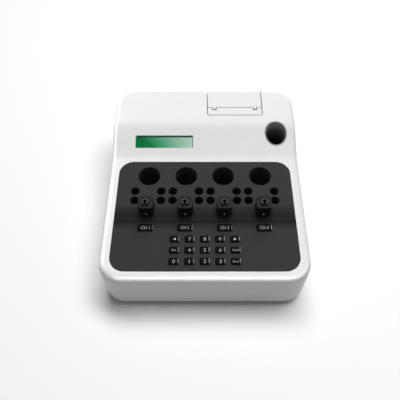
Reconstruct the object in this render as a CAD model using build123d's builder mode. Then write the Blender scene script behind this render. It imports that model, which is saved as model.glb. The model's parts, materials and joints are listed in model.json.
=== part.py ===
from build123d import *
from math import atan2, cos, radians, sin, tan
import os

# Four-channel bench coagulation analyzer. Millimetres, +Z up, the front faces -Y.
# The origin is on the table under the middle of the case.

# Case
CASE_W = 260.0
CASE_D = 300.0
CASE_BOTTOM = 4.0
CORNER_R = 29.0
EDGE_R = 9.0
SOLE_R = 10.0
WALL = 3.0
SPLIT_Z = 20.0
SPLIT_GAP = 0.4
SEAM = 0.3
MOVE_GAP = 0.35
PIN_FIT = 0.05

# Work panel: a tilted plane, with "front" measured from the row of large wells towards the user
PANEL_TILT = 4.0
PANEL_Z = 81.0
PANEL_W = 232.6
PANEL_REAR = -24.2
PANEL_FRONT = 138.8
PANEL_R = 19.3
DECK_T = 2.6
DECK_SINK = 0.4
DECK_SEAT = DECK_T + DECK_SINK
SEAM_FRONT = 70.0

# Slope behind the panel and the plateau above it
SLOPE_FOOT = -31.0
SLOPE_CREST = -79.0
PLATEAU_RISE = 15.0
FOOT_R = 32.0
CREST_R = 46.0

# Channels
CHANNEL_PITCH = 50.0
CHANNELS = 4
BIG_WELL_R = 14.7
BIG_WELL_FRONT = -0.4
BIG_WELL_DEPTH = 36.0
SMALL_WELL_R = 5.75
SMALL_WELL_DEPTH = 34.0
SMALL_WELL_X = 17.3
SMALL_WELL_ROWS = (23.95, 38.3)
HEATER_H = 42.0

# Measuring block and its lid
BLOCK_W = 19.3
BLOCK_REAR = 42.0
BLOCK_FRONT = 62.0
BLOCK_TOP = 13.8
BLOCK_DROP = 40.0
BLOCK_R = 4.0
LID_REAR = 46.7
LID_BOTTOM = 14.15
LID_TOP = 18.0
LID_AXIS_FRONT = 44.3
LID_AXIS_LIFT = 15.4
LID_OPEN_R = 2.0
PORT_FRONT = 53.2
PORT_R = 2.5
COLLAR_R = 4.6
COLLAR_TOP = 22.0
SOCKET_R = 5.3
LID_PIN_R = 0.8

# Keys
KEY_PITCH_X = 18.85
KEY_PITCH_Y = 15.05
KEY_W = 11.9
KEY_D = 8.4
CH_KEY_W = 19.3
CH_KEY_D = 9.4
CH_KEY_FRONT = 79.4
KEYPAD_FRONT = 110.4
KEY_TOP = 1.6
KEY_BEVEL_W = 1.2
KEY_BEVEL_H = 0.7
KEY_FLANGE_T = 1.2

# Display
LCD_X = -56.8
LCD_FRONT = -54.1
LCD_W = 81.1
LCD_H = 19.0
LCD_R = 1.8

# Bottle well in the slope, slightly longer than wide
WELL_X = 100.5
WELL_Y = 66.0
WELL_R = 15.8
WELL_LONG_R = 18.1
WELL_FLOOR_Z = 50.0
LINER_T = 1.4

# Printer
DOOR_LEFT = 3.4
DOOR_RIGHT = 84.0
DOOR_FRONT = -96.3
DOOR_R = 4.2
SLOT_FRONT = -111.9
PAPER_W = 57.5
ROLL_R = 20.0
ROLL_Y = 121.0
ROLL_Z = 63.0
PLATEN_Y = 116.2
PLATEN_Z = 91.0
PLATEN_R = 5.0
COVER_PIN_R = 1.5
FRAME_IN = 31.0
FRAME_T = 3.0

# Printer gears
GEAR_MODULE = 0.5
PLATEN_TEETH = 36
PINION_TEETH = 12
GEAR_T = 3.0

# Rear connector panel
PORTS_X = -46.0
PORTS_W = 96.0
PORTS_Z = 44.0
PORTS_H = 30.0
PORTS_SINK = 6.0

TILT = radians(PANEL_TILT)
SLOPE_ANGLE = TILT + atan2(PLATEAU_RISE, SLOPE_FOOT - SLOPE_CREST)
PANEL = Plane(origin=(0, 0, PANEL_Z), x_dir=(1, 0, 0), z_dir=(0, -sin(TILT), cos(TILT)))
CHANNEL_XS = [CHANNEL_PITCH * (i - (CHANNELS - 1) / 2) for i in range(CHANNELS)]
DOOR_X = (DOOR_LEFT + DOOR_RIGHT) / 2
DOOR_W = DOOR_RIGHT - DOOR_LEFT


def side(front, lift):
    """Y and Z of a point that is this far to the front along the panel and this far off it."""
    return (
        -front * cos(TILT) - lift * sin(TILT),
        PANEL_Z - front * sin(TILT) + lift * cos(TILT),
    )


def save(piece, name):
    """Label a finished piece and write it to its own file."""
    piece.label = name
    export_step(piece, f"parts/{name}.step")


os.makedirs("parts", exist_ok=True)

FOOT_Y, FOOT_Z = side(SLOPE_FOOT, 0)
SLOPE = Plane(
    origin=(0, FOOT_Y, FOOT_Z),
    x_dir=(1, 0, 0),
    z_dir=(0, -sin(SLOPE_ANGLE), cos(SLOPE_ANGLE)),
)
LCD_UP = (SLOPE_FOOT - LCD_FRONT) / cos(SLOPE_ANGLE - TILT)
PLATEAU = PANEL.offset(PLATEAU_RISE)

# The cover turns about the centre of the case's rolled rear edge, so its rolled end stays flush
HINGE_Y = CASE_D / 2 - EDGE_R
HINGE_Z = PANEL_Z + HINGE_Y * tan(TILT) + (PLATEAU_RISE - EDGE_R) / cos(TILT)


def case_form(inset):
    """The outer form of the case, or the same form drawn in by a wall's thickness."""
    front_top = PANEL_Z - CASE_D / 2 * tan(TILT)
    rear_top = PANEL_Z + CASE_D / 2 * tan(TILT) + PLATEAU_RISE / cos(TILT)
    with BuildPart() as form:
        with BuildSketch(Plane.YZ.offset(inset - CASE_W / 2)):
            with BuildLine():
                FilletPolyline(
                    (-CASE_D / 2, CASE_BOTTOM),
                    (-CASE_D / 2, front_top),
                    side(SLOPE_FOOT, 0),
                    side(SLOPE_CREST, PLATEAU_RISE),
                    (CASE_D / 2, rear_top),
                    (CASE_D / 2, CASE_BOTTOM),
                    radius=[0, 0, FOOT_R, CREST_R, 0, 0],
                    close=True,
                )
            make_face()
            if inset:
                offset(amount=-inset, kind=Kind.INTERSECTION)
        extrude(amount=CASE_W - 2 * inset)
        with BuildSketch(Plane.XY):
            RectangleRounded(CASE_W - 2 * inset, CASE_D - 2 * inset, CORNER_R - inset)
        extrude(amount=2 * PANEL_Z, mode=Mode.INTERSECT)
        sole = form.faces().sort_by(Axis.Z)[0].edges()
        walls = form.edges().filter_by(Axis.Z)
        bends = form.edges().filter_by(Axis.X).filter_by_position(
            Axis.Y, inset - CASE_D / 2, CASE_D / 2 - inset, inclusive=(False, False)
        )
        rim = form.edges() - sole - walls - bends
        fillet(rim, EDGE_R - inset)
        fillet(form.faces().sort_by(Axis.Z)[0].edges(), SOLE_R - inset)
    return form.part


OUTER = case_form(0)
INNER = case_form(WALL)

POST_PLACES = [(118.0, -118.0), (-118.0, -118.0), (112.0, 126.0), (-112.0, 126.0)]
POST_R = 5.0
POST_TOP_FRONT = side(118.0, -DECK_SEAT - 1.0)[1]
POST_TOP_REAR = side(-126.0, PLATEAU_RISE - 1.0)[1]
SCREW_R = 1.5
SCREW_BITE = 14.0
LEDGE_T = 3.0
LEDGE_IN = 4.0
PORTS_RIM = 2.0

with BuildPart() as top_cover:
    add(OUTER)
    split(bisect_by=Plane.XY.offset(SPLIT_Z), keep=Keep.TOP)
    add(INNER, mode=Mode.SUBTRACT)
    with BuildSketch(PANEL.offset(-DECK_SEAT - LEDGE_T)):
        with Locations((0, -(PANEL_REAR + PANEL_FRONT) / 2)):
            RectangleRounded(
                PANEL_W + 2 * WALL, PANEL_FRONT - PANEL_REAR + 2 * WALL, PANEL_R + WALL
            )
            RectangleRounded(
                PANEL_W - 2 * LEDGE_IN,
                PANEL_FRONT - PANEL_REAR - 2 * LEDGE_IN,
                PANEL_R - LEDGE_IN,
                mode=Mode.SUBTRACT,
            )
    extrude(amount=LEDGE_T)
    with BuildSketch(PANEL.offset(-DECK_SEAT)):
        with Locations((0, -(PANEL_REAR + PANEL_FRONT) / 2)):
            RectangleRounded(PANEL_W, PANEL_FRONT - PANEL_REAR, PANEL_R)
    extrude(amount=2 * WALL, mode=Mode.SUBTRACT)
    for post_x, post_y in POST_PLACES:
        post_top = POST_TOP_FRONT if post_y < 0 else POST_TOP_REAR
        with BuildSketch(Plane.XY.offset(SPLIT_Z)):
            with Locations((post_x, post_y)):
                Circle(POST_R)
        extrude(amount=post_top - SPLIT_Z)
        with BuildSketch(Plane.XY.offset(SPLIT_Z)):
            with Locations((post_x, post_y)):
                Circle(SCREW_R)
        extrude(amount=SCREW_BITE, mode=Mode.SUBTRACT)
    with BuildSketch(SLOPE.offset(-2 * WALL)):
        with Locations((LCD_X, LCD_UP)):
            RectangleRounded(LCD_W, LCD_H, LCD_R)
    extrude(amount=4 * WALL, mode=Mode.SUBTRACT)
    with BuildSketch(Plane.XY.offset(PANEL_Z)):
        with Locations((WELL_X, WELL_Y)):
            Ellipse(WELL_R + SEAM, WELL_LONG_R + SEAM)
    extrude(amount=PANEL_Z, mode=Mode.SUBTRACT)
    with BuildSketch(Plane.XZ.offset(-CASE_D / 2 + PORTS_SINK)):
        with Locations((PORTS_X, PORTS_Z)):
            RectangleRounded(PORTS_W + 2 * PORTS_RIM, PORTS_H + 2 * PORTS_RIM, 3)
    extrude(amount=-PORTS_SINK + WALL / 2)
    with BuildSketch(Plane.XZ.offset(-CASE_D / 2 - 1)):
        with Locations((PORTS_X, PORTS_Z)):
            RectangleRounded(PORTS_W, PORTS_H, 2)
    extrude(amount=4 * PORTS_SINK, mode=Mode.SUBTRACT)
    with BuildSketch(PLATEAU.offset(-2 * WALL)):
        with Locations((DOOR_X, (HINGE_Y - DOOR_FRONT) / 2)):
            RectangleRounded(DOOR_W, HINGE_Y + DOOR_FRONT, DOOR_R)
        with Locations((DOOR_X, HINGE_Y - EDGE_R)):
            Rectangle(DOOR_W, 2 * EDGE_R + 1)
    extrude(amount=4 * WALL, mode=Mode.SUBTRACT)
    with BuildSketch(Plane.YZ.offset(DOOR_LEFT)):
        with Locations((HINGE_Y, HINGE_Z)):
            Circle(EDGE_R + MOVE_GAP)
        with Locations((HINGE_Y + EDGE_R, HINGE_Z + EDGE_R - 2)):
            Rectangle(2 * EDGE_R, 2 * EDGE_R)
    extrude(amount=DOOR_W, mode=Mode.SUBTRACT)
save(top_cover.part, "top_cover")

LIP_DEPTH = 8.0
LIP_T = 1.6
LIP_RISE = 3.0
LIP_FIT = 0.2
BOARD_Z = 14.0
BOARD_X = -8.0
BOARD_Y = -6.0
BOARD_W = 180.0
BOARD_D = 130.0
STANDOFF_INSET = 6.0
STANDOFF_R = 3.5
FOOT_X = 100.0
FOOT_Y_POS = 112.0
FOOT_R = 8.0
FOOT_SINK = 1.2
SCREW_HEAD_R = 3.0
SCREW_HEAD_H = 2.4
SCREW_HEAD_Z = 9.0
SCREW_KEY_R = 1.25
SCREW_L = 21.0

with BuildPart() as bottom_case:
    add(OUTER)
    split(bisect_by=Plane.XY.offset(SPLIT_Z - SPLIT_GAP), keep=Keep.BOTTOM)
    add(INNER, mode=Mode.SUBTRACT)
    with BuildSketch(Plane.XY.offset(SPLIT_Z - LIP_DEPTH)):
        RectangleRounded(CASE_W - 2 * WALL, CASE_D - 2 * WALL, CORNER_R - WALL)
        RectangleRounded(
            CASE_W - 2 * (WALL + LIP_T),
            CASE_D - 2 * (WALL + LIP_T),
            CORNER_R - WALL - LIP_T,
            mode=Mode.SUBTRACT,
        )
    extrude(amount=LIP_DEPTH - SPLIT_GAP)
    lip_out = WALL + LIP_FIT
    with BuildSketch(Plane.XY.offset(SPLIT_Z - SPLIT_GAP)):
        RectangleRounded(CASE_W - 2 * lip_out, CASE_D - 2 * lip_out, CORNER_R - lip_out)
        RectangleRounded(
            CASE_W - 2 * (WALL + LIP_T),
            CASE_D - 2 * (WALL + LIP_T),
            CORNER_R - WALL - LIP_T,
            mode=Mode.SUBTRACT,
        )
    extrude(amount=LIP_RISE)
    with BuildSketch(Plane.XY.offset(SPLIT_Z - SPLIT_GAP)):
        with Locations(*POST_PLACES):
            Circle(POST_R + 2)
    extrude(amount=LIP_RISE, mode=Mode.SUBTRACT)
    with BuildSketch(Plane.XY.offset(CASE_BOTTOM + WALL / 2)):
        with Locations(*POST_PLACES):
            Circle(POST_R + 1)
    extrude(amount=SPLIT_Z - SPLIT_GAP - CASE_BOTTOM - WALL / 2)
    with BuildSketch(Plane.XY.offset(CASE_BOTTOM)):
        with Locations(*POST_PLACES):
            Circle(SCREW_HEAD_R + 0.6)
    extrude(amount=SCREW_HEAD_Z - CASE_BOTTOM, mode=Mode.SUBTRACT)
    with BuildSketch(Plane.XY.offset(CASE_BOTTOM)):
        with Locations(*POST_PLACES):
            Circle(SCREW_R + 0.2)
    extrude(amount=SPLIT_Z, mode=Mode.SUBTRACT)
    with BuildSketch(Plane.XY.offset(CASE_BOTTOM + WALL / 2)):
        with Locations((BOARD_X, BOARD_Y)):
            with GridLocations(BOARD_W - 2 * STANDOFF_INSET, BOARD_D - 2 * STANDOFF_INSET, 2, 2):
                Circle(STANDOFF_R)
    extrude(amount=BOARD_Z - CASE_BOTTOM - WALL / 2)
    with BuildSketch(Plane.XY.offset(CASE_BOTTOM)):
        with GridLocations(2 * FOOT_X, 2 * FOOT_Y_POS, 2, 2):
            Circle(FOOT_R + SEAM)
    extrude(amount=FOOT_SINK, mode=Mode.SUBTRACT)
save(bottom_case.part, "bottom_case")

with BuildPart() as feet:
    with BuildSketch(Plane.XY):
        with GridLocations(2 * FOOT_X, 2 * FOOT_Y_POS, 2, 2):
            Circle(FOOT_R)
    extrude(amount=CASE_BOTTOM + FOOT_SINK)
    chamfer(feet.faces().sort_by(Axis.Z)[0:4].edges(), 0.8)
save(feet.part, "feet")

with BuildPart() as case_screws:
    with BuildSketch(Plane.XY.offset(SCREW_HEAD_Z - SCREW_HEAD_H)):
        with Locations(*POST_PLACES):
            Circle(SCREW_HEAD_R)
            RegularPolygon(SCREW_KEY_R, 6, mode=Mode.SUBTRACT)
    extrude(amount=SCREW_HEAD_H)
    with BuildSketch(Plane.XY.offset(SCREW_HEAD_Z - 1)):
        with Locations(*POST_PLACES):
            Circle(SCREW_R)
    extrude(amount=SCREW_L + 1)
save(case_screws.part, "case_screws")


def window_sketch(shrink):
    """The panel's window, drawn in by a gap, in the panel's own coordinates."""
    with Locations((0, -(PANEL_REAR + PANEL_FRONT) / 2)):
        RectangleRounded(
            PANEL_W - 2 * shrink, PANEL_FRONT - PANEL_REAR - 2 * shrink, PANEL_R - shrink
        )


def band_sketch(rear, front, width, mode):
    """A band across the panel between two distances from the well row."""
    with Locations((0, -(rear + front) / 2)):
        Rectangle(width, front - rear, mode=mode)


SMALL_WELLS = [
    (x + side_x, -row) for x in CHANNEL_XS for side_x in (-SMALL_WELL_X, SMALL_WELL_X)
    for row in SMALL_WELL_ROWS
]
BLOCK_MID = (BLOCK_REAR + BLOCK_FRONT) / 2
BLOCK_D = BLOCK_FRONT - BLOCK_REAR
TONGUE_T = 1.6

with BuildPart() as incubation_deck:
    with BuildSketch(PANEL.offset(-DECK_SEAT)):
        window_sketch(SEAM)
        band_sketch(PANEL_REAR - 1, SEAM_FRONT - SEAM / 2, PANEL_W, Mode.INTERSECT)
    extrude(amount=DECK_T)
    with BuildSketch(PANEL.offset(-DECK_SEAT - TONGUE_T)):
        band_sketch(BLOCK_FRONT + 3, SEAM_FRONT + 3, PANEL_W - 2 * LEDGE_IN - 2, Mode.ADD)
    extrude(amount=TONGUE_T)
    with BuildSketch(PANEL.offset(-DECK_SEAT - TONGUE_T)):
        with Locations(*[(x, -BIG_WELL_FRONT) for x in CHANNEL_XS]):
            Circle(BIG_WELL_R)
        with Locations(*SMALL_WELLS):
            Circle(SMALL_WELL_R)
        with Locations(*[(x, -BLOCK_MID) for x in CHANNEL_XS]):
            RectangleRounded(BLOCK_W + 2 * SEAM, BLOCK_D + 2 * SEAM, BLOCK_R + SEAM)
    extrude(amount=4 * DECK_T, mode=Mode.SUBTRACT)
    rings = [
        edge
        for edge in incubation_deck.edges().filter_by(GeomType.CIRCLE)
        if edge.length > 30 and PANEL.to_local_coords(edge.center()).Z > -DECK_SINK - 0.1
    ]
    chamfer(rings, 0.5)
save(incubation_deck.part, "incubation_deck")

HEATER_REAR = -18.0
HEATER_FRONT = 46.6


HEATER_GAP = 1.0
with BuildPart() as heater_blocks:
    for x in CHANNEL_XS:
        with BuildSketch(PANEL.offset(-DECK_SEAT - HEATER_H)):
            with Locations((x, -(HEATER_REAR + HEATER_FRONT) / 2)):
                RectangleRounded(CHANNEL_PITCH - HEATER_GAP, HEATER_FRONT - HEATER_REAR, 2)
            with Locations((x, -HEATER_FRONT)):
                Rectangle(BLOCK_W + 2, 2 * (HEATER_FRONT - BLOCK_REAR + 1), mode=Mode.SUBTRACT)
        extrude(amount=HEATER_H)
    with BuildSketch(PANEL.offset(-DECK_SEAT - BIG_WELL_DEPTH)):
        with Locations(*[(x, -BIG_WELL_FRONT) for x in CHANNEL_XS]):
            Circle(BIG_WELL_R)
    extrude(amount=BIG_WELL_DEPTH, mode=Mode.SUBTRACT)
    with BuildSketch(PANEL.offset(-DECK_SEAT - SMALL_WELL_DEPTH)):
        with Locations(*SMALL_WELLS):
            Circle(SMALL_WELL_R)
    extrude(amount=SMALL_WELL_DEPTH, mode=Mode.SUBTRACT)
save(heater_blocks.part, "heater_blocks")

KNUCKLE_X = 3.1
KNUCKLE_W = 2.6
KNUCKLE_GAP = 0.35
BARREL_W = BLOCK_W - 3.0
BARREL_INSET = 0.1
TROUGH_FLOOR = LID_AXIS_LIFT - LID_OPEN_R - 1.0
TROUGH_FRONT = LID_AXIS_FRONT + LID_OPEN_R + 0.8
LED_LIFT = 4.0
LED_R = 0.65
SOCKET_FLOOR = -30.0
EYE_LIFT = -18.0
EYE_R = 2.6
LATCH_W = 10.4
LATCH_H = 3.2


def channel_block(x):
    """Fixed measuring block with the cuvette socket, two hinge knuckles and the finger recess."""
    axis_y, axis_z = side(LID_AXIS_FRONT, LID_AXIS_LIFT)
    with BuildPart() as block:
        with BuildSketch(PANEL.offset(-BLOCK_DROP)):
            with Locations((x, -BLOCK_MID)):
                RectangleRounded(BLOCK_W, BLOCK_D, BLOCK_R)
        extrude(amount=BLOCK_DROP + BLOCK_TOP)
        with BuildSketch(PANEL.offset(TROUGH_FLOOR)):
            with Locations((x, -(BLOCK_REAR - 1 + TROUGH_FRONT) / 2)):
                Rectangle(BLOCK_W + 2, TROUGH_FRONT - BLOCK_REAR + 1)
        extrude(amount=BLOCK_TOP, mode=Mode.SUBTRACT)
        with BuildSketch(PANEL.offset(TROUGH_FLOOR - 1)):
            with Locations((x - KNUCKLE_X, -LID_AXIS_FRONT), (x + KNUCKLE_X, -LID_AXIS_FRONT)):
                Rectangle(KNUCKLE_W, 2 * LID_OPEN_R)
        extrude(amount=LID_AXIS_LIFT - TROUGH_FLOOR + 1)
        for knuckle_x in (x - KNUCKLE_X, x + KNUCKLE_X):
            with BuildSketch(Plane.YZ.offset(knuckle_x - KNUCKLE_W / 2)):
                with Locations((axis_y, axis_z)):
                    Circle(LID_OPEN_R)
            extrude(amount=KNUCKLE_W)
        with BuildSketch(Plane.YZ.offset(x - KNUCKLE_X - KNUCKLE_W)):
            with Locations((axis_y, axis_z)):
                Circle(LID_PIN_R)
        extrude(amount=2 * (KNUCKLE_X + KNUCKLE_W), mode=Mode.SUBTRACT)
        with BuildSketch(PANEL.offset(SOCKET_FLOOR)):
            with Locations((x, -PORT_FRONT)):
                Circle(SOCKET_R)
        extrude(amount=BLOCK_TOP - SOCKET_FLOOR + 1, mode=Mode.SUBTRACT)
        with BuildSketch(PANEL.offset(BLOCK_TOP - LATCH_H)):
            with Locations((x, -BLOCK_FRONT)):
                Rectangle(LATCH_W, 4.4)
        extrude(amount=LATCH_H + 1, mode=Mode.SUBTRACT)
        led_y, led_z = side(BLOCK_FRONT, LED_LIFT)
        with BuildSketch(Plane.XZ.offset(-led_y - 3)):
            with Locations((x, led_z)):
                Circle(LED_R)
        extrude(amount=4, mode=Mode.SUBTRACT)
        eye_y, eye_z = side(PORT_FRONT, EYE_LIFT)
        with BuildSketch(Plane.YZ.offset(x - BLOCK_W)):
            with Locations((eye_y, eye_z)):
                Circle(EYE_R + 0.1)
        extrude(amount=2 * BLOCK_W, mode=Mode.SUBTRACT)
    return block.part


LID_D = BLOCK_FRONT - 0.5 - LID_REAR
PANEL_UP = Axis((0, 0, 0), PANEL.z_dir)
NOTCH_W = 2.4
LID_R = 3.4


def channel_lid(x):
    """Hinged lid with its raised pipetting port and the barrel of its hinge."""
    axis_y, axis_z = side(LID_AXIS_FRONT, LID_AXIS_LIFT)
    with BuildPart() as lid:
        with BuildSketch(PANEL.offset(LID_BOTTOM)):
            with Locations((x, -LID_REAR - LID_D / 2)):
                RectangleRounded(BLOCK_W, LID_D, LID_R)
        extrude(amount=LID_TOP - LID_BOTTOM)
        fillet(lid.faces().sort_by(PANEL_UP)[-1].edges(), 0.8)
        with BuildSketch(PANEL.offset(LID_TOP - 1)):
            with Locations((x, -PORT_FRONT)):
                Circle(COLLAR_R)
        extrude(amount=COLLAR_TOP - LID_TOP + 1)
        chamfer(lid.faces().sort_by(PANEL_UP)[-1].edges(), 0.5)
        with BuildSketch(PANEL.offset(LID_BOTTOM - 1)):
            with Locations((x, -PORT_FRONT)):
                Circle(PORT_R)
        extrude(amount=COLLAR_TOP, mode=Mode.SUBTRACT)
        with BuildSketch(PANEL.offset(LID_TOP - 1)):
            with Locations((x, -PORT_FRONT - COLLAR_R / 2)):
                Rectangle(NOTCH_W, COLLAR_R + 1)
        extrude(amount=COLLAR_TOP, mode=Mode.SUBTRACT)
        with BuildSketch(Plane.YZ.offset(x - BARREL_W / 2)):
            with Locations((axis_y, axis_z)):
                Circle(LID_OPEN_R - BARREL_INSET)
            with BuildLine():
                Polyline(
                    side(LID_AXIS_FRONT, LID_BOTTOM),
                    side(LID_REAR + 1, LID_BOTTOM),
                    side(LID_REAR + 1, LID_AXIS_LIFT + LID_OPEN_R - BARREL_INSET),
                    side(LID_AXIS_FRONT, LID_AXIS_LIFT + LID_OPEN_R - BARREL_INSET),
                    close=True,
                )
            make_face()
        extrude(amount=BARREL_W)
        with BuildSketch(PANEL.offset(TROUGH_FLOOR)):
            with Locations((x - KNUCKLE_X, -LID_AXIS_FRONT), (x + KNUCKLE_X, -LID_AXIS_FRONT)):
                Rectangle(KNUCKLE_W + 2 * KNUCKLE_GAP, 2 * (LID_REAR - LID_AXIS_FRONT))
        extrude(amount=COLLAR_TOP, mode=Mode.SUBTRACT)
        with BuildSketch(Plane.YZ.offset(x - BLOCK_W)):
            with Locations((axis_y, axis_z)):
                Circle(LID_PIN_R + PIN_FIT)
        extrude(amount=2 * BLOCK_W, mode=Mode.SUBTRACT)
    return lid.part


for number, channel_x in enumerate(CHANNEL_XS, start=1):
    save(channel_block(channel_x), f"channel_block_{number}")
    save(channel_lid(channel_x), f"channel_lid_{number}")

LID_PIN_LENGTH = 15.6
PIN_Y, PIN_Z = side(LID_AXIS_FRONT, LID_AXIS_LIFT)
with BuildPart() as lid_hinge_pins:
    for channel_x in CHANNEL_XS:
        with BuildSketch(Plane.YZ.offset(channel_x - LID_PIN_LENGTH / 2)):
            with Locations((PIN_Y, PIN_Z)):
                Circle(LID_PIN_R)
        extrude(amount=LID_PIN_LENGTH)
save(lid_hinge_pins.part, "lid_hinge_pins")

LED_Y, LED_Z = side(BLOCK_FRONT, LED_LIFT)
with BuildPart() as channel_leds:
    with BuildSketch(Plane.XZ.offset(-LED_Y - 2.5)):
        with Locations(*[(x, LED_Z) for x in CHANNEL_XS]):
            Circle(LED_R)
    extrude(amount=3)
    fillet(channel_leds.faces().sort_by(Axis.Y)[0:CHANNELS].edges(), 0.35)
save(channel_leds.part, "channel_leds")

EYE_Y, EYE_Z = side(PORT_FRONT, EYE_LIFT)
EYE_BOARD_T = 1.6
EYE_BOARD_W = 11.0
EYE_BOARD_H = 16.0
with BuildPart() as channel_optics:
    for channel_x in CHANNEL_XS:
        for hand in (-1, 1):
            tip_x = channel_x + hand * (SOCKET_R + 0.6)
            board_x = channel_x + hand * (BLOCK_W / 2 + 0.4)
            with BuildSketch(Plane.YZ.offset(min(tip_x, board_x))):
                with Locations((EYE_Y, EYE_Z)):
                    Circle(EYE_R)
            extrude(amount=abs(board_x - tip_x))
            with BuildSketch(Plane.YZ.offset(board_x if hand > 0 else board_x - EYE_BOARD_T)):
                with Locations((EYE_Y, EYE_Z)):
                    Rectangle(EYE_BOARD_W, EYE_BOARD_H)
            extrude(amount=EYE_BOARD_T)
save(channel_optics.part, "channel_optics")

CHANNEL_KEYS = [(x, -CH_KEY_FRONT) for x in CHANNEL_XS]
KEYPAD_ROWS = 3
KEYPAD_COLUMNS = 5
KEYPAD = [
    ((column - 2) * KEY_PITCH_X, -KEYPAD_FRONT - (row - 1) * KEY_PITCH_Y)
    for row in range(KEYPAD_ROWS) for column in range(KEYPAD_COLUMNS)
]
KEY_GROUPS = [(CHANNEL_KEYS, CH_KEY_W, CH_KEY_D), (KEYPAD, KEY_W, KEY_D)]
KEY_NAMES = [
    "key_left", "key_7", "key_8", "key_9", "key_right",
    "key_esc", "key_4", "key_5", "key_6", "key_mode",
    "key_0", "key_1", "key_2", "key_3", "key_enter",
]
KEY_R = 1.4
BOARD_DROP = 9.2
KEY_BOARD_T = 1.6
MAT_T = 1.2
DOME_T = 0.8
DOME_R = 3.5
DOME_TAPER = 30
KEY_BOARD_W = 192.0
KEY_BOARD_REAR = 75.0
KEY_BOARD_FRONT = 133.0
KEY_POSTS = [(x, -front) for x in (-90.0, 90.0) for front in (92.0, 126.0)]
KEY_POSTS += [(x, -KEYPAD_FRONT) for x in (-58.0, 58.0)]
KEY_POST_R = 3.0

with BuildPart() as keypad_panel:
    with BuildSketch(PANEL.offset(-DECK_SEAT)):
        window_sketch(SEAM)
        band_sketch(SEAM_FRONT + SEAM / 2, PANEL_FRONT + 1, PANEL_W, Mode.INTERSECT)
        for places, width, depth in KEY_GROUPS:
            with Locations(*places):
                RectangleRounded(
                    width + 2 * MOVE_GAP,
                    depth + 2 * MOVE_GAP,
                    KEY_R + MOVE_GAP,
                    mode=Mode.SUBTRACT,
                )
    extrude(amount=DECK_T)
    with BuildSketch(PANEL.offset(-BOARD_DROP + KEY_BOARD_T)):
        with Locations(*KEY_POSTS):
            Circle(KEY_POST_R)
    extrude(amount=BOARD_DROP - KEY_BOARD_T - DECK_SEAT + 0.5)
save(keypad_panel.part, "keypad_panel")


def key(place, width, depth):
    """A key cap with the flange that keeps it under the panel."""
    with BuildPart() as cap:
        with BuildSketch(PANEL.offset(-DECK_SEAT - PIN_FIT - KEY_FLANGE_T)):
            with Locations(place):
                RectangleRounded(width + 2, depth + 2, KEY_R + 1)
        extrude(amount=KEY_FLANGE_T)
        with BuildSketch(PANEL.offset(-DECK_SEAT - PIN_FIT)):
            with Locations(place):
                RectangleRounded(width, depth, KEY_R)
        extrude(amount=KEY_TOP + DECK_SEAT + PIN_FIT)
        top = cap.faces().sort_by(PANEL_UP)[-1]
        chamfer(top.edges(), KEY_BEVEL_W, KEY_BEVEL_H, reference=top)
    return cap.part


for number, place in enumerate(CHANNEL_KEYS, start=1):
    save(key(place, CH_KEY_W, CH_KEY_D), f"channel_key_{number}")
for name, place in zip(KEY_NAMES, KEYPAD):
    save(key(place, KEY_W, KEY_D), name)

BOARD_MID = (KEY_BOARD_REAR + KEY_BOARD_FRONT) / 2
with BuildPart() as key_mat:
    with BuildSketch(PANEL.offset(-BOARD_DROP + KEY_BOARD_T)):
        with Locations((0, -BOARD_MID)):
            RectangleRounded(KEY_BOARD_W - 2, KEY_BOARD_FRONT - KEY_BOARD_REAR - 2, 3)
        with Locations(*KEY_POSTS):
            Circle(KEY_POST_R + SEAM, mode=Mode.SUBTRACT)
    extrude(amount=MAT_T)
    with BuildSketch(PANEL.offset(-BOARD_DROP + KEY_BOARD_T + MAT_T)):
        with Locations(*CHANNEL_KEYS, *KEYPAD):
            Circle(DOME_R)
    extrude(amount=DOME_T, taper=DOME_TAPER)
save(key_mat.part, "key_mat")

with BuildPart() as key_board:
    with BuildSketch(PANEL.offset(-BOARD_DROP)):
        with Locations((0, -BOARD_MID)):
            RectangleRounded(KEY_BOARD_W, KEY_BOARD_FRONT - KEY_BOARD_REAR, 2)
    extrude(amount=KEY_BOARD_T)
save(key_board.part, "key_board")

LENS_T = 1.5
LENS_SEAT = WALL + PIN_FIT + LENS_T
LCD_FRAME_T = 7.0
LCD_FRAME_W = 98.0
LCD_FRAME_H = 26.0
LCD_BOARD_W = 116.0
LCD_BOARD_H = 35.0
LCD_HOLE_IN = 3.5
LCD_HOLE_R = 1.6
with BuildPart() as lcd_window:
    with BuildSketch(SLOPE.offset(-LENS_SEAT)):
        with Locations((LCD_X, LCD_UP)):
            RectangleRounded(LCD_W + 10, LCD_H + 7, 2)
    extrude(amount=LENS_T)
save(lcd_window.part, "lcd_window")

with BuildPart() as lcd_module:
    with BuildSketch(SLOPE.offset(-LENS_SEAT - PIN_FIT - LCD_FRAME_T)):
        with Locations((LCD_X, LCD_UP)):
            RectangleRounded(LCD_FRAME_W, LCD_FRAME_H, 1)
    extrude(amount=LCD_FRAME_T)
    with BuildSketch(SLOPE.offset(-LENS_SEAT - PIN_FIT - 0.8)):
        with Locations((LCD_X, LCD_UP)):
            Rectangle(LCD_W + 3, LCD_H + 2)
    extrude(amount=2, mode=Mode.SUBTRACT)
    with BuildSketch(SLOPE.offset(-LENS_SEAT - PIN_FIT - LCD_FRAME_T - KEY_BOARD_T)):
        with Locations((LCD_X, LCD_UP)):
            Rectangle(LCD_BOARD_W, LCD_BOARD_H)
            with GridLocations(LCD_BOARD_W - 2 * LCD_HOLE_IN, LCD_BOARD_H - 2 * LCD_HOLE_IN, 2, 2):
                Circle(LCD_HOLE_R, mode=Mode.SUBTRACT)
    extrude(amount=KEY_BOARD_T)
save(lcd_module.part, "lcd_module")

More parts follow.
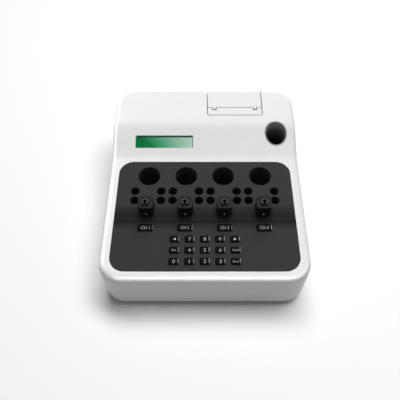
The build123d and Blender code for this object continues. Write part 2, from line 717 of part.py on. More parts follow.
LINER_FLANGE = 4.0
LINER_FLANGE_Z = 78.0
with BuildPart() as well_liner:
    with BuildSketch(Plane.XY.offset(LINER_FLANGE_Z)):
        with Locations((WELL_X, WELL_Y)):
            Ellipse(WELL_R + LINER_FLANGE, WELL_LONG_R + LINER_FLANGE)
    extrude(amount=PANEL_Z)
    add(INNER, mode=Mode.INTERSECT)
    with BuildSketch(Plane.XY.offset(WELL_FLOOR_Z - WALL)):
        with Locations((WELL_X, WELL_Y)):
            Ellipse(WELL_R, WELL_LONG_R)
    extrude(amount=PANEL_Z)
    add(OUTER, mode=Mode.INTERSECT)
    with BuildSketch(Plane.XY.offset(WELL_FLOOR_Z)):
        with Locations((WELL_X, WELL_Y)):
            Ellipse(WELL_R - LINER_T, WELL_LONG_R - LINER_T)
    extrude(amount=PANEL_Z, mode=Mode.SUBTRACT)
save(well_liner.part, "well_liner")

DOOR_GAP = 1.0
SLOT_HALF = 0.4
TAB_W = 4.4
TAB_L = 4.6
TAB_X = 29.5
BEZEL_D = -SLOT_FRONT - SLOT_HALF + DOOR_FRONT - DOOR_GAP
BEZEL_Y = -DOOR_FRONT + DOOR_GAP

with BuildPart() as printer_bezel:
    with BuildSketch(PLATEAU.offset(-WALL)):
        with Locations((DOOR_X, BEZEL_Y + BEZEL_D)):
            RectangleRounded(DOOR_W - 2 * DOOR_GAP, 2 * BEZEL_D, 3)
        with Locations((DOOR_X, BEZEL_Y + 1.5 * BEZEL_D)):
            Rectangle(DOOR_W, BEZEL_D, mode=Mode.SUBTRACT)
        with Locations(
            (DOOR_X - TAB_X, BEZEL_Y + BEZEL_D),
            (DOOR_X + TAB_X, BEZEL_Y + BEZEL_D),
        ):
            Rectangle(TAB_W + 2 * DOOR_GAP, 2 * TAB_L, mode=Mode.SUBTRACT)
    extrude(amount=WALL)
save(printer_bezel.part, "printer_bezel")

ARM_X = 26.0
ARM_W = 6.0
ARM_R = 4.5
COVER_LEFT = DOOR_LEFT + DOOR_GAP
COVER_FRONT = SLOT_FRONT - SLOT_HALF
with BuildPart() as printer_cover:
    with BuildSketch(Plane.YZ.offset(COVER_LEFT)):
        with BuildLine():
            Polyline(
                side(COVER_FRONT, PLATEAU_RISE - 2 * WALL),
                side(COVER_FRONT, PLATEAU_RISE + WALL),
                (CASE_D, HINGE_Z + 3 * EDGE_R),
                (CASE_D, HINGE_Z),
                (HINGE_Y, HINGE_Z),
                close=True,
            )
        make_face()
    extrude(amount=DOOR_W - 2 * DOOR_GAP)
    add(OUTER, mode=Mode.INTERSECT)
    add(INNER, mode=Mode.SUBTRACT)
    with BuildSketch(PLATEAU.offset(-WALL / 2)):
        with Locations((DOOR_X - TAB_X, -COVER_FRONT), (DOOR_X + TAB_X, -COVER_FRONT)):
            Rectangle(TAB_W, 2 * TAB_L - 2 * DOOR_GAP)
    extrude(amount=WALL / 2)
    for arm_x in (DOOR_X - ARM_X, DOOR_X + ARM_X):
        with BuildSketch(Plane.YZ.offset(arm_x - ARM_W / 2)):
            with Locations((HINGE_Y, HINGE_Z)):
                Circle(ARM_R)
            with Locations((HINGE_Y, HINGE_Z + 3.5)):
                Rectangle(2 * ARM_R, EDGE_R - 2)
        extrude(amount=ARM_W)
    with BuildSketch(Plane.YZ.offset(DOOR_LEFT)):
        with Locations((HINGE_Y, HINGE_Z)):
            Circle(COVER_PIN_R + PIN_FIT)
    extrude(amount=DOOR_W, mode=Mode.SUBTRACT)
save(printer_cover.part, "printer_cover")

with BuildPart() as cover_hinge_pin:
    with BuildSketch(Plane.YZ.offset(DOOR_X - FRAME_IN - FRAME_T)):
        with Locations((HINGE_Y, HINGE_Z)):
            Circle(COVER_PIN_R)
    extrude(amount=2 * (FRAME_IN + FRAME_T))
save(cover_hinge_pin.part, "cover_hinge_pin")

FRAME_REAR = 144.0
FRAME_FRONT = 98.0
FRAME_BOTTOM = 40.0
FRAME_TOP = 80.0
TOWER_TOP = 97.5
TOWER_D = 19.0
NECK_REACH = 22.0
NECK_HALF = 2.8
NECK_ANGLE = 50.0
SHAFT_R = 2.0
ROLL_GAP = 0.8
MOTOR_PLATE_X = DOOR_X + FRAME_IN + FRAME_T + 4.8
MOTOR_PLATE_T = 2.0
MOTOR_PLATE_D = 22.0
MOTOR_PLATE_H = 27.0
MOTOR_BOSS_R = 3.0
BRIDGE_T = 3.0
PINION_Z = PLATEN_Z - GEAR_MODULE * (PLATEN_TEETH + PINION_TEETH) / 2
LEG_R = 4.0


def frame_side(x):
    """One side plate of the printer frame, with the hinge ear on its neck."""
    with BuildPart() as plate:
        with BuildSketch(Plane.YZ.offset(x)):
            with Locations(((FRAME_FRONT + FRAME_REAR) / 2, (FRAME_BOTTOM + FRAME_TOP) / 2)):
                Rectangle(FRAME_REAR - FRAME_FRONT, FRAME_TOP - FRAME_BOTTOM)
            with Locations((PLATEN_Y, (FRAME_TOP + TOWER_TOP) / 2 - 1)):
                Rectangle(TOWER_D, TOWER_TOP - FRAME_TOP + 2)
            with Locations(Location((HINGE_Y, HINGE_Z), NECK_ANGLE)):
                with Locations((-NECK_REACH / 2, 0)):
                    Rectangle(NECK_REACH, 2 * NECK_HALF)
            with Locations((HINGE_Y, HINGE_Z)):
                Circle(ARM_R)
                Circle(COVER_PIN_R, mode=Mode.SUBTRACT)
            with Locations((PLATEN_Y, PLATEN_Z)):
                Circle(SHAFT_R + PIN_FIT, mode=Mode.SUBTRACT)
        extrude(amount=FRAME_T)
    return plate.part


LEFT_SIDE = frame_side(DOOR_X - FRAME_IN - FRAME_T)
RIGHT_SIDE = frame_side(DOOR_X + FRAME_IN)

with BuildPart() as printer_frame:
    add(LEFT_SIDE)
    add(RIGHT_SIDE)
    with BuildSketch(Plane.YZ.offset(DOOR_X - FRAME_IN)):
        with Locations(((FRAME_FRONT + FRAME_REAR) / 2, (FRAME_BOTTOM + FRAME_TOP) / 2)):
            Rectangle(FRAME_REAR - FRAME_FRONT, FRAME_TOP - FRAME_BOTTOM)
        with Locations((ROLL_Y, ROLL_Z)):
            Circle(ROLL_R + ROLL_GAP, mode=Mode.SUBTRACT)
        with Locations((ROLL_Y, ROLL_Z + ROLL_R)):
            Rectangle(2 * (ROLL_R + ROLL_GAP), 2 * ROLL_R, mode=Mode.SUBTRACT)
    extrude(amount=2 * FRAME_IN)
    with BuildSketch(Plane.YZ.offset(MOTOR_PLATE_X)):
        with Locations((PLATEN_Y, PINION_Z - 3)):
            Rectangle(MOTOR_PLATE_D, MOTOR_PLATE_H)
        with Locations((PLATEN_Y, PINION_Z)):
            Circle(MOTOR_BOSS_R, mode=Mode.SUBTRACT)
    extrude(amount=MOTOR_PLATE_T)
    with BuildSketch(Plane.YZ.offset(DOOR_X + FRAME_IN + FRAME_T)):
        with Locations((PLATEN_Y, PINION_Z - 15)):
            Rectangle(MOTOR_PLATE_D, BRIDGE_T)
    extrude(amount=MOTOR_PLATE_X - DOOR_X - FRAME_IN - FRAME_T + MOTOR_PLATE_T)
    with BuildSketch(Plane.XY.offset(CASE_BOTTOM + WALL)):
        with Locations((DOOR_X, (FRAME_FRONT + FRAME_REAR) / 2)):
            with GridLocations(2 * FRAME_IN - 8, FRAME_REAR - FRAME_FRONT - 2 * LEG_R - 2, 2, 2):
                Circle(LEG_R)
    extrude(amount=FRAME_BOTTOM - CASE_BOTTOM - WALL)
save(printer_frame.part, "printer_frame")

SLEEVE_HALF = 29.0
with BuildPart() as platen_roller:
    with BuildSketch(Plane.YZ.offset(DOOR_X - SLEEVE_HALF)):
        with Locations((PLATEN_Y, PLATEN_Z)):
            Circle(PLATEN_R)
            Circle(SHAFT_R, mode=Mode.SUBTRACT)
    extrude(amount=2 * SLEEVE_HALF)
save(platen_roller.part, "platen_roller")

GEAR_X = DOOR_X + FRAME_IN + FRAME_T + 0.6
with BuildPart() as platen_shaft:
    with BuildSketch(Plane.YZ.offset(DOOR_X - FRAME_IN - FRAME_T)):
        with Locations((PLATEN_Y, PLATEN_Z)):
            Circle(SHAFT_R)
    extrude(amount=GEAR_X + GEAR_T - DOOR_X + FRAME_IN + FRAME_T)
save(platen_shaft.part, "platen_shaft")


def gear_sketch(teeth, turn):
    """Spur gear outline about the local origin, with straight-flanked teeth."""
    pitch_r = GEAR_MODULE * teeth / 2
    root_r = pitch_r - 1.25 * GEAR_MODULE
    tip_r = pitch_r + 0.9 * GEAR_MODULE
    half = radians(90) * GEAR_MODULE / 2 - 0.06
    flank = tan(radians(20))
    root_half = half + (pitch_r - root_r) * flank
    tip_half = half - (tip_r - pitch_r) * flank
    Circle(root_r)
    with PolarLocations(0, teeth, start_angle=turn):
        Polygon(
            (root_r - 0.2, -root_half),
            (tip_r, -tip_half),
            (tip_r, tip_half),
            (root_r - 0.2, root_half),
            align=None,
        )


with BuildPart() as platen_gear:
    with BuildSketch(Plane(origin=(GEAR_X, PLATEN_Y, PLATEN_Z), x_dir=(0, 1, 0), z_dir=(1, 0, 0))):
        gear_sketch(PLATEN_TEETH, 0)
        Circle(SHAFT_R, mode=Mode.SUBTRACT)
    extrude(amount=GEAR_T)
save(platen_gear.part, "platen_gear")

MOTOR_X = MOTOR_PLATE_X + MOTOR_PLATE_T
MOTOR_R = 9.0
MOTOR_L = 12.0
MOTOR_SHAFT_R = 1.0
PINION_PLANE = Plane(origin=(GEAR_X, PLATEN_Y, PINION_Z), x_dir=(0, 1, 0), z_dir=(1, 0, 0))
with BuildPart() as motor_pinion:
    with BuildSketch(PINION_PLANE):
        gear_sketch(PINION_TEETH, 180 / PINION_TEETH)
    extrude(amount=GEAR_T)
    with BuildSketch(PINION_PLANE):
        Circle(MOTOR_SHAFT_R)
    extrude(amount=MOTOR_X - GEAR_X + 3)
save(motor_pinion.part, "motor_pinion")

with BuildPart() as stepper_motor:
    with BuildSketch(Plane.YZ.offset(MOTOR_X)):
        with Locations((PLATEN_Y, PINION_Z)):
            Circle(MOTOR_R)
    extrude(amount=MOTOR_L)
    with BuildSketch(Plane.YZ.offset(MOTOR_X)):
        with Locations((PLATEN_Y, PINION_Z)):
            Circle(MOTOR_SHAFT_R + PIN_FIT)
    extrude(amount=4, mode=Mode.SUBTRACT)
save(stepper_motor.part, "stepper_motor")

HEAD_T = 3.0
HEAD_H = 16.0
HEAD_Y = PLATEN_Y - PLATEN_R - MOVE_GAP
with BuildPart() as thermal_head:
    with BuildSketch(Plane.XY.offset(PLATEN_Z - 10)):
        with Locations((DOOR_X, HEAD_Y - HEAD_T / 2)):
            Rectangle(2 * FRAME_IN, HEAD_T)
    extrude(amount=HEAD_H)
save(thermal_head.part, "thermal_head")

CORE_R = 6.0
with BuildPart() as paper_roll:
    with BuildSketch(Plane.YZ.offset(DOOR_X - PAPER_W / 2)):
        with Locations((ROLL_Y, ROLL_Z)):
            Circle(ROLL_R)
            Circle(CORE_R, mode=Mode.SUBTRACT)
    extrude(amount=PAPER_W)
save(paper_roll.part, "paper_roll")

CHIP = 16.0
DRIVER_W = 10.0
DRIVER_D = 6.0
CHIP_H = 1.6
CAPACITOR_R = 4.5
HEADER_W = 32.0
HEADER_D = 6.0
TALL_H = 9.0
with BuildPart() as main_board:
    with BuildSketch(Plane.XY.offset(BOARD_Z)):
        with Locations((BOARD_X, BOARD_Y)):
            Rectangle(BOARD_W, BOARD_D)
    extrude(amount=KEY_BOARD_T)
    board_top = BOARD_Z + KEY_BOARD_T
    with BuildSketch(Plane.XY.offset(board_top - 0.1)):
        with Locations((BOARD_X - 20, BOARD_Y + 10)):
            Rectangle(CHIP, CHIP)
        with Locations((BOARD_X + 14, BOARD_Y - 20)):
            with GridLocations(18, 22, 2, 2):
                Rectangle(DRIVER_W, DRIVER_D)
    extrude(amount=CHIP_H)
    with BuildSketch(Plane.XY.offset(board_top - 0.1)):
        with Locations((BOARD_X - 66, BOARD_Y + 40)):
            with GridLocations(14, 14, 2, 2):
                Circle(CAPACITOR_R)
        with Locations((BOARD_X + 50, BOARD_Y + 48), (BOARD_X, BOARD_Y - 52)):
            Rectangle(HEADER_W, HEADER_D)
    extrude(amount=TALL_H)
save(main_board.part, "main_board")

PORT_PLATE_T = 1.5
PORT_FACE_Y = CASE_D / 2 - PORTS_SINK
JACK_X = PORTS_X - 32.0
SWITCH_X = PORTS_X - 4.0
SERIAL_X = PORTS_X + 27.0
JACK_R = 5.5
SWITCH_W = 13.0
SWITCH_H = 20.0
SERIAL_W = 19.0
SERIAL_H = 11.0
PORT_PLANE = Plane(origin=(0, PORT_FACE_Y, PORTS_Z), x_dir=(1, 0, 0), z_dir=(0, 1, 0))


def port_sketch_places(*xs):
    """Places on the connector panel, whose own X axis runs with the case's."""
    return Locations(*[(x, 0) for x in xs])


with BuildPart() as rear_panel:
    with BuildSketch(PORT_PLANE):
        with port_sketch_places(PORTS_X):
            RectangleRounded(PORTS_W + 10, PORTS_H + 6, 3)
        with port_sketch_places(JACK_X):
            Circle(JACK_R, mode=Mode.SUBTRACT)
        with port_sketch_places(SWITCH_X):
            Rectangle(SWITCH_W, SWITCH_H, mode=Mode.SUBTRACT)
        with port_sketch_places(SERIAL_X):
            Rectangle(SERIAL_W, SERIAL_H, mode=Mode.SUBTRACT)
    extrude(amount=-PORT_PLATE_T)
save(rear_panel.part, "rear_panel")

JACK_DEPTH = 12.0
JACK_BORE_R = 3.2
JACK_PIN_R = 1.05
JACK_FLANGE_T = 1.2
with BuildPart() as power_jack:
    with BuildSketch(PORT_PLANE.offset(-JACK_DEPTH - 2)):
        with port_sketch_places(JACK_X):
            Circle(JACK_R)
    extrude(amount=JACK_DEPTH + 2)
    with BuildSketch(PORT_PLANE):
        with port_sketch_places(JACK_X):
            Circle(JACK_R + 1.5)
    extrude(amount=JACK_FLANGE_T)
    with BuildSketch(PORT_PLANE.offset(-JACK_DEPTH)):
        with port_sketch_places(JACK_X):
            Circle(JACK_BORE_R)
            Circle(JACK_PIN_R, mode=Mode.SUBTRACT)
    extrude(amount=JACK_DEPTH + 2, mode=Mode.SUBTRACT)
save(power_jack.part, "power_jack")

SHELL_W = 31.0
SHELL_H = 12.6
TONGUE_W = 16.9
TONGUE_H = 8.3
TONGUE_OUT = 5.6
JACKSCREW_X = 12.5
JACKSCREW_R = 2.7
PIN_PITCH = 2.76
PIN_ROW = 1.4
PIN_HOLE_R = 0.55
SERIAL_DEPTH = 9.0
with BuildPart() as serial_port:
    with BuildSketch(PORT_PLANE.offset(-SERIAL_DEPTH)):
        with port_sketch_places(SERIAL_X):
            Rectangle(SERIAL_W, SERIAL_H)
    extrude(amount=SERIAL_DEPTH)
    with BuildSketch(PORT_PLANE):
        with port_sketch_places(SERIAL_X):
            RectangleRounded(SHELL_W, SHELL_H, 1)
    extrude(amount=1)
    with BuildSketch(PORT_PLANE):
        with port_sketch_places(SERIAL_X):
            Trapezoid(TONGUE_W, TONGUE_H, 80, rotation=180)
        with port_sketch_places(SERIAL_X - JACKSCREW_X, SERIAL_X + JACKSCREW_X):
            RegularPolygon(JACKSCREW_R, 6)
    extrude(amount=TONGUE_OUT)
    with BuildSketch(PORT_PLANE.offset(2)):
        for row_z, pins in ((PIN_ROW, 5), (-PIN_ROW, 4)):
            with Locations((SERIAL_X, row_z)):
                with GridLocations(PIN_PITCH, 0, pins, 1):
                    Circle(PIN_HOLE_R)
    extrude(amount=5, mode=Mode.SUBTRACT)
save(serial_port.part, "serial_port")

ROCKER_W = 10.0
ROCKER_H = 16.0
ROCKER_TILT = 8.0
ROCKER_Y = PORT_FACE_Y - 3.0
ROCKER_AXLE_R = 1.2
SWITCH_FLANGE = 1.4
SWITCH_DEPTH = 14.0
SWITCH_WELL = 9.0
with BuildPart() as switch_housing:
    with BuildSketch(PORT_PLANE.offset(-SWITCH_DEPTH)):
        with port_sketch_places(SWITCH_X):
            Rectangle(SWITCH_W, SWITCH_H)
    extrude(amount=SWITCH_DEPTH)
    with BuildSketch(PORT_PLANE):
        with port_sketch_places(SWITCH_X):
            RectangleRounded(SWITCH_W + 2.4, SWITCH_H + 2.4, 1.2)
    extrude(amount=SWITCH_FLANGE)
    with BuildSketch(PORT_PLANE.offset(-SWITCH_WELL)):
        with port_sketch_places(SWITCH_X):
            Rectangle(ROCKER_W + 2 * MOVE_GAP, ROCKER_H + 2)
    extrude(amount=SWITCH_WELL + 3, mode=Mode.SUBTRACT)
    with BuildSketch(Plane.YZ.offset(SWITCH_X - SWITCH_W)):
        with Locations((ROCKER_Y, PORTS_Z)):
            Circle(ROCKER_AXLE_R + PIN_FIT)
    extrude(amount=2 * SWITCH_W, mode=Mode.SUBTRACT)
save(switch_housing.part, "switch_housing")

ROCKER_PLANE = Plane(
    origin=(SWITCH_X, ROCKER_Y, PORTS_Z),
    x_dir=(0, cos(radians(ROCKER_TILT)), sin(radians(ROCKER_TILT))),
    z_dir=(1, 0, 0),
)
with BuildPart() as power_rocker:
    with BuildSketch(ROCKER_PLANE.offset(-ROCKER_W / 2)):
        with BuildLine():
            Polyline(
                (5.2, ROCKER_H / 2),
                (3.6, 0),
                (5.2, -ROCKER_H / 2),
                (0, -ROCKER_H / 2),
                (-3, -3),
                (-3, 3),
                (0, ROCKER_H / 2),
                close=True,
            )
        make_face()
    extrude(amount=ROCKER_W)
    with BuildSketch(ROCKER_PLANE.offset(-ROCKER_W / 2 - 1.2)):
        Circle(ROCKER_AXLE_R)
    extrude(amount=ROCKER_W + 2.4)
save(power_rocker.part, "power_rocker")
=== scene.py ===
# %% [markdown]
# # A white bench analyzer with four measuring channels
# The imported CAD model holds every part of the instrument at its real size: shells, deck, lids, keys, printer and
# electronics. What is missing is how it looks. This lesson gives each part the finish that it has on the real
# instrument, prints the legends on the keys, and lights it the way a catalogue photo is lit.

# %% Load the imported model
import json
from math import atan2, cos, pi, radians, sin

import bpy
from mathutils import Matrix, Vector


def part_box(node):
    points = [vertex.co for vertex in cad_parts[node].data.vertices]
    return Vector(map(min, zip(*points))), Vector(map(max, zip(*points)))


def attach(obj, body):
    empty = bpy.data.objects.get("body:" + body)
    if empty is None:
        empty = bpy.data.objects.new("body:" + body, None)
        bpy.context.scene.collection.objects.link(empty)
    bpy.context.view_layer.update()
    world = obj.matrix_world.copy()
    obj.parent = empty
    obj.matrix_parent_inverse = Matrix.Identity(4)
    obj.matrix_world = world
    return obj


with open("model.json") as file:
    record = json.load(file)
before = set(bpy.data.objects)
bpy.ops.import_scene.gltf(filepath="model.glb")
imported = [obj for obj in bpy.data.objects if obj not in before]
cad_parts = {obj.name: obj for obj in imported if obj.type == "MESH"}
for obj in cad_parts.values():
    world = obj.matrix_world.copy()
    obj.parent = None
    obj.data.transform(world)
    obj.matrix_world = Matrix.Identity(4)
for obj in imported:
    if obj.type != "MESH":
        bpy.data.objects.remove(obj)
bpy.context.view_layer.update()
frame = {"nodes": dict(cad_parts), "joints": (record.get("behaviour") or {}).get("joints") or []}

# %% [markdown]
# Nearly everything on this instrument is laid out on one plane, the dark work panel, which falls 4 degrees towards
# the user. A point on it is easier to think of as "so far to the front of the row of large wells, and so far off
# the panel" than as Y and Z, so a small function turns the one into the other. Its two values come from the frame:
# the tilt from the record's key joints, and the height from the top of the deck.

# %% The work panel's own directions
MM = 0.001
PRESS_AXIS = next(j["axis"] for j in frame["joints"] if j["name"] == "key_5_press")
TILT = atan2(PRESS_AXIS[1], -PRESS_AXIS[2])
DECK_SINK = 0.4 * MM
DECK_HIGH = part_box("incubation_deck")[1]
PANEL_Z = DECK_HIGH[2] + DECK_SINK * cos(TILT) - DECK_HIGH[1] * sin(TILT) / cos(TILT)


def on_panel(x, front, lift):
    """The point at this x, this far to the front of the well row, and this far off the panel, in metres."""
    return Vector((
        x,
        -front * cos(TILT) - lift * sin(TILT),
        PANEL_Z - front * sin(TILT) + lift * cos(TILT),
    ))


print("panel tilt:", round(TILT, 4), "height at the wells:", round(PANEL_Z / MM, 2), "mm")

# %% [markdown]
# The photo was taken from the front and well above, with a lens a little longer than normal. Its height and angle
# follow from how much the case narrows towards the rear: a width at the rear edge looks four fifths as long as the
# same width at the front. The small sideways shift only frames the picture, as in the photo.

# %% Camera
CAMERA_PLACE = (-1.7 * MM, -384.6 * MM, 555.3 * MM)
CAMERA_TILT = radians(36)
CAMERA_LENS = 40.5
SENSOR_WIDTH = 36
CAMERA_SHIFT = -0.0086

bpy.ops.object.camera_add(location=CAMERA_PLACE, rotation=(CAMERA_TILT, 0, 0))
camera = bpy.context.object
camera.name = "camera"
camera.data.lens = CAMERA_LENS
camera.data.sensor_width = SENSOR_WIDTH
camera.data.shift_x = CAMERA_SHIFT
bpy.context.scene.camera = camera
print("camera is", round(Vector(CAMERA_PLACE).length, 3), "m from the foot of the case")

# %% [markdown]
# Two small helpers carry all the materials. Colours are picked as sRGB hex values, as in any paint chart, and the
# shader wants them linear. A node is always added the same way: make it, set its fields and sockets, link its
# inputs. `new_material` gives the node tree and its shader, with the numbers that stay the same all over the
# surface set on the shader's own sockets.

# %% Colour and node helpers


def linear(code, alpha=1.0):
    """Linear RGBA of an sRGB hex value such as "#f0f0ef"."""
    parts = [int(code[i : i + 2], 16) / 255 for i in (1, 3, 5)]
    return tuple(p / 12.92 if p <= 0.04045 else ((p + 0.055) / 1.055) ** 2.4 for p in parts) + (alpha,)


def add_node(tree, kind, fields=None, inputs=None, links=None):
    """Add one node to a tree: fields are its settings, inputs its socket values, links what feeds it."""
    made = tree.nodes.new(kind)
    for key, value in (fields or {}).items():
        setattr(made, key, value)
    for key, value in (inputs or {}).items():
        made.inputs[key].default_value = value
    for key, source in (links or {}).items():
        tree.links.new(source, made.inputs[key])
    return made


def new_material(name, **sockets):
    """A material's node tree and its Principled shader. Sockets are named with underscores for spaces."""
    material = bpy.data.materials.new(name)
    material.use_nodes = True
    shader = material.node_tree.nodes["Principled BSDF"]
    for key, value in sockets.items():
        shader.inputs[key.replace("_", " ")].default_value = value
    return material, material.node_tree, shader


def paint(material, *nodes):
    """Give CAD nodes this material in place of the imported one."""
    for node in nodes:
        data = frame["nodes"][node].data
        data.materials.clear()
        data.materials.append(material)


# %% [markdown]
# Some finishes change with their place on the object: paler at a mouth, darker along an edge. In a material such a
# place is a distance along one direction, and that is the dot product of the Object coordinates with the
# direction. `distance_along` makes that node, `fade` turns it into a factor that runs smoothly from 0 to 1 between
# two distances, and `both` multiplies two factors, so that the product is 1 only where both are. `facing` does the
# same sum with the direction that the surface faces.

# %% Distances inside a material
OFF_PANEL = (0, -sin(TILT), cos(TILT))
TO_USER = (0, -cos(TILT), -sin(TILT))


def distance_along(tree, direction):
    """A node socket with how far a surface point lies along this direction, in metres from the origin."""
    place = add_node(tree, "ShaderNodeTexCoord").outputs["Object"]
    return add_node(
        tree, "ShaderNodeVectorMath", fields={"operation": "DOT_PRODUCT"},
        inputs={1: direction}, links={0: place},
    ).outputs["Value"]


def facing(tree, direction):
    """A node socket that is 1 where the surface faces this direction, 0 side on and -1 where it faces away."""
    normal = add_node(tree, "ShaderNodeTexCoord").outputs["Normal"]
    return add_node(
        tree, "ShaderNodeVectorMath", fields={"operation": "DOT_PRODUCT"},
        inputs={1: direction}, links={0: normal},
    ).outputs["Value"]


def fade(tree, distance, start, end):
    """A factor that is 0 at one distance and 1 at the other, with a soft run between them."""
    return add_node(
        tree, "ShaderNodeMapRange", fields={"interpolation_type": "SMOOTHSTEP"},
        inputs={"From Min": start, "From Max": end}, links={"Value": distance},
    ).outputs[0]


def both(tree, first, second):
    """The product of two factors."""
    return add_node(
        tree, "ShaderNodeMath", fields={"operation": "MULTIPLY"}, links={0: first, 1: second}
    ).outputs[0]


def recolour(tree, shader, factor, code):
    """Mix this colour over what feeds the shader's base colour, by a factor."""
    under = shader.inputs["Base Color"].links[0].from_socket
    over = add_node(
        tree, "ShaderNodeMix", fields={"data_type": "RGBA"},
        inputs={7: linear(code)}, links={0: factor, 6: under},
    )
    tree.links.new(over.outputs[2], shader.inputs["Base Color"])


def parts_of(material):
    """The node tree of a material and its Principled shader."""
    return material.node_tree, material.node_tree.nodes["Principled BSDF"]


# %% [markdown]
# Most of the instrument is moulded plastic, and what tells one moulding from another is the grain of its mould.
# Spark erosion leaves a mould with tiny rounded pits, which the part shows as a soft even grain. One recipe makes
# them all: a fine noise for the grain, which bends the light, and a broad, very faint one for the slight unevenness
# of colour and gloss that any large moulding has. The grain's real width is near 0.1 mm, too fine to show here,
# so each is drawn a few times coarser.

# %% Moulded plastic


def moulded(name, light, dark, grain, depth, rough, uneven=0.06, broad=40 * MM, **sockets):
    """Plastic with a mould grain of this width and depth, in metres, and two close colours that drift."""
    material, tree, shader = new_material(name, **sockets)
    place = add_node(tree, "ShaderNodeTexCoord").outputs["Object"]
    pits = add_node(
        tree, "ShaderNodeTexNoise",
        inputs={"Scale": 1 / grain, "Detail": 2.0, "Roughness": 0.55},
        links={"Vector": place},
    )
    drift = add_node(
        tree, "ShaderNodeTexNoise",
        inputs={"Scale": 1 / broad, "Detail": 3.0, "Roughness": 0.5},
        links={"Vector": place},
    )
    colour = add_node(
        tree, "ShaderNodeMix", fields={"data_type": "RGBA"},
        inputs={6: linear(light), 7: linear(dark)},
        links={0: drift.outputs["Fac"]},
    )
    gloss = add_node(
        tree, "ShaderNodeMapRange",
        inputs={"From Min": 0.3, "From Max": 0.7, "To Min": rough - uneven, "To Max": rough + uneven},
        links={"Value": pits.outputs["Fac"]},
    )
    bump = add_node(
        tree, "ShaderNodeBump", inputs={"Strength": 1.0, "Distance": depth},
        links={"Height": pits.outputs["Fac"]},
    )
    tree.links.new(colour.outputs[2], shader.inputs["Base Color"])
    tree.links.new(gloss.outputs[0], shader.inputs["Roughness"])
    tree.links.new(bump.outputs["Normal"], shader.inputs["Normal"])
    return material


# %% [markdown]
# The shells are white ABS, moulded and left unpainted. ABS has an IOR of 1.53. The grain is fine and shallow, so
# the case looks satin: highlights on its rolled edges are broad and soft, with no mirror image in them. The printer
# door and its lip come from a second, smaller mould of the same plastic, a shade duller than the case.

# %% White ABS shells
white_abs = moulded(
    "white_abs_fine_grain", "#f6f6f5", "#f2f2f1", grain=0.5 * MM, depth=0.006 * MM, rough=0.5, IOR=1.53
)
door_abs = moulded(
    "white_abs_door_mould", "#f4f4f3", "#f0f0ef", grain=0.4 * MM, depth=0.006 * MM, rough=0.52, IOR=1.53
)
paint(white_abs, "top_cover", "bottom_case")
paint(door_abs, "printer_bezel", "printer_cover")

# %% [markdown]
# The walls of the narrow gap round the printer door are painted nearly black, a painted shade that stands for the
# shade deep in the gap, so the door shows as fine dark lines. The walls are the faces near the door that stand
# upright to the panel. Their place is told by two pairs of distances, from left to right and from front to rear,
# and their direction by `facing`, which is near 0 for them. The region ends a little before the rear wall, so that
# the outside of the case stays white.

# %% Painted shade on the walls of the gap round the door
GAP_REACH = 1.3 * MM
LIP_REACH = 2 * MM
BEZEL_LOW, BEZEL_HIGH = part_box("printer_bezel")
DOOR_SIDES = (BEZEL_LOW[0] - GAP_REACH, BEZEL_HIGH[0] + GAP_REACH)
DOOR_DEPTHS = (BEZEL_LOW[1] - LIP_REACH, 139 * MM)


def between(tree, direction, low, high):
    """A factor that is 1 between two distances along a direction, and 0 outside them."""
    distance = distance_along(tree, direction)
    over = add_node(
        tree, "ShaderNodeMath", fields={"operation": "GREATER_THAN"}, inputs={1: low}, links={0: distance}
    )
    under = add_node(
        tree, "ShaderNodeMath", fields={"operation": "LESS_THAN"}, inputs={1: high}, links={0: distance}
    )
    return both(tree, over.outputs[0], under.outputs[0])


def upright_walls(tree):
    """A factor that is 1 on faces that stand upright to the panel."""
    size = add_node(
        tree, "ShaderNodeMath", fields={"operation": "ABSOLUTE"}, links={0: facing(tree, OFF_PANEL)}
    )
    return fade(tree, size.outputs[0], 0.35, 0.25)


for abs_plastic in (white_abs, door_abs):
    tree, shader = parts_of(abs_plastic)
    gap_shade_region = both(tree, between(tree, (1, 0, 0), *DOOR_SIDES), between(tree, (0, 1, 0), *DOOR_DEPTHS))
    # painted shade: the upright walls of the gap round the door are painted nearly black
    recolour(tree, shader, both(tree, gap_shade_region, upright_walls(tree)), "#141414")
print("gap round the door is dark from x", [round(x / MM, 1) for x in DOOR_SIDES], "mm")

# %% [markdown]
# The work panel is a dark grey ABS with a coarser grain, because it has to hide scratches and splashes. A coarse
# grain scatters the light, so the panel stays matt and almost even, and its gloss is low for a plastic. In front of
# the measuring blocks it is painted darker, a painted shade in a soft band as wide as the deck that ends near the
# joint between the two plates, and dirt has gathered in that joint. Both are given by their distance to the front
# of the row of large wells.

# %% Dark work panel
SHADE_BAND_STARTS, SHADE_BAND_FULL, SHADE_BAND_FADES, SHADE_BAND_ENDS = 40 * MM, 60 * MM, 70 * MM, 84 * MM
JOINT_AT, JOINT_REACH, JOINT_SOFT = 70 * MM, 0.8 * MM, 0.4 * MM
dark_abs = moulded(
    "dark_grey_abs_coarse_grain", "#3e3e3e", "#3a3a3b", grain=0.7 * MM, depth=0.02 * MM, rough=0.58,
    IOR=1.53, Specular_IOR_Level=0.07,
)
tree, shader = parts_of(dark_abs)
towards_user = distance_along(tree, TO_USER)
PANEL_START = -PANEL_Z * sin(TILT)
# painted shade: a soft darker band in front of the measuring blocks, as wide as the deck
shade_band_in = fade(tree, towards_user, PANEL_START + SHADE_BAND_STARTS, PANEL_START + SHADE_BAND_FULL)
shade_band_out = fade(tree, towards_user, PANEL_START + SHADE_BAND_ENDS, PANEL_START + SHADE_BAND_FADES)
recolour(tree, shader, both(tree, shade_band_in, shade_band_out), "#212121")
joint_rear, joint_front = (
    fade(
        tree, towards_user,
        PANEL_START + JOINT_AT + side * JOINT_REACH, PANEL_START + JOINT_AT + side * JOINT_SOFT,
    )
    for side in (-1, 1)
)
recolour(tree, shader, both(tree, joint_rear, joint_front), "#0f0f0f")
paint(dark_abs, "incubation_deck", "keypad_panel")
print("stain from", SHADE_BAND_STARTS / MM, "to", SHADE_BAND_ENDS / MM, "mm before the well row")
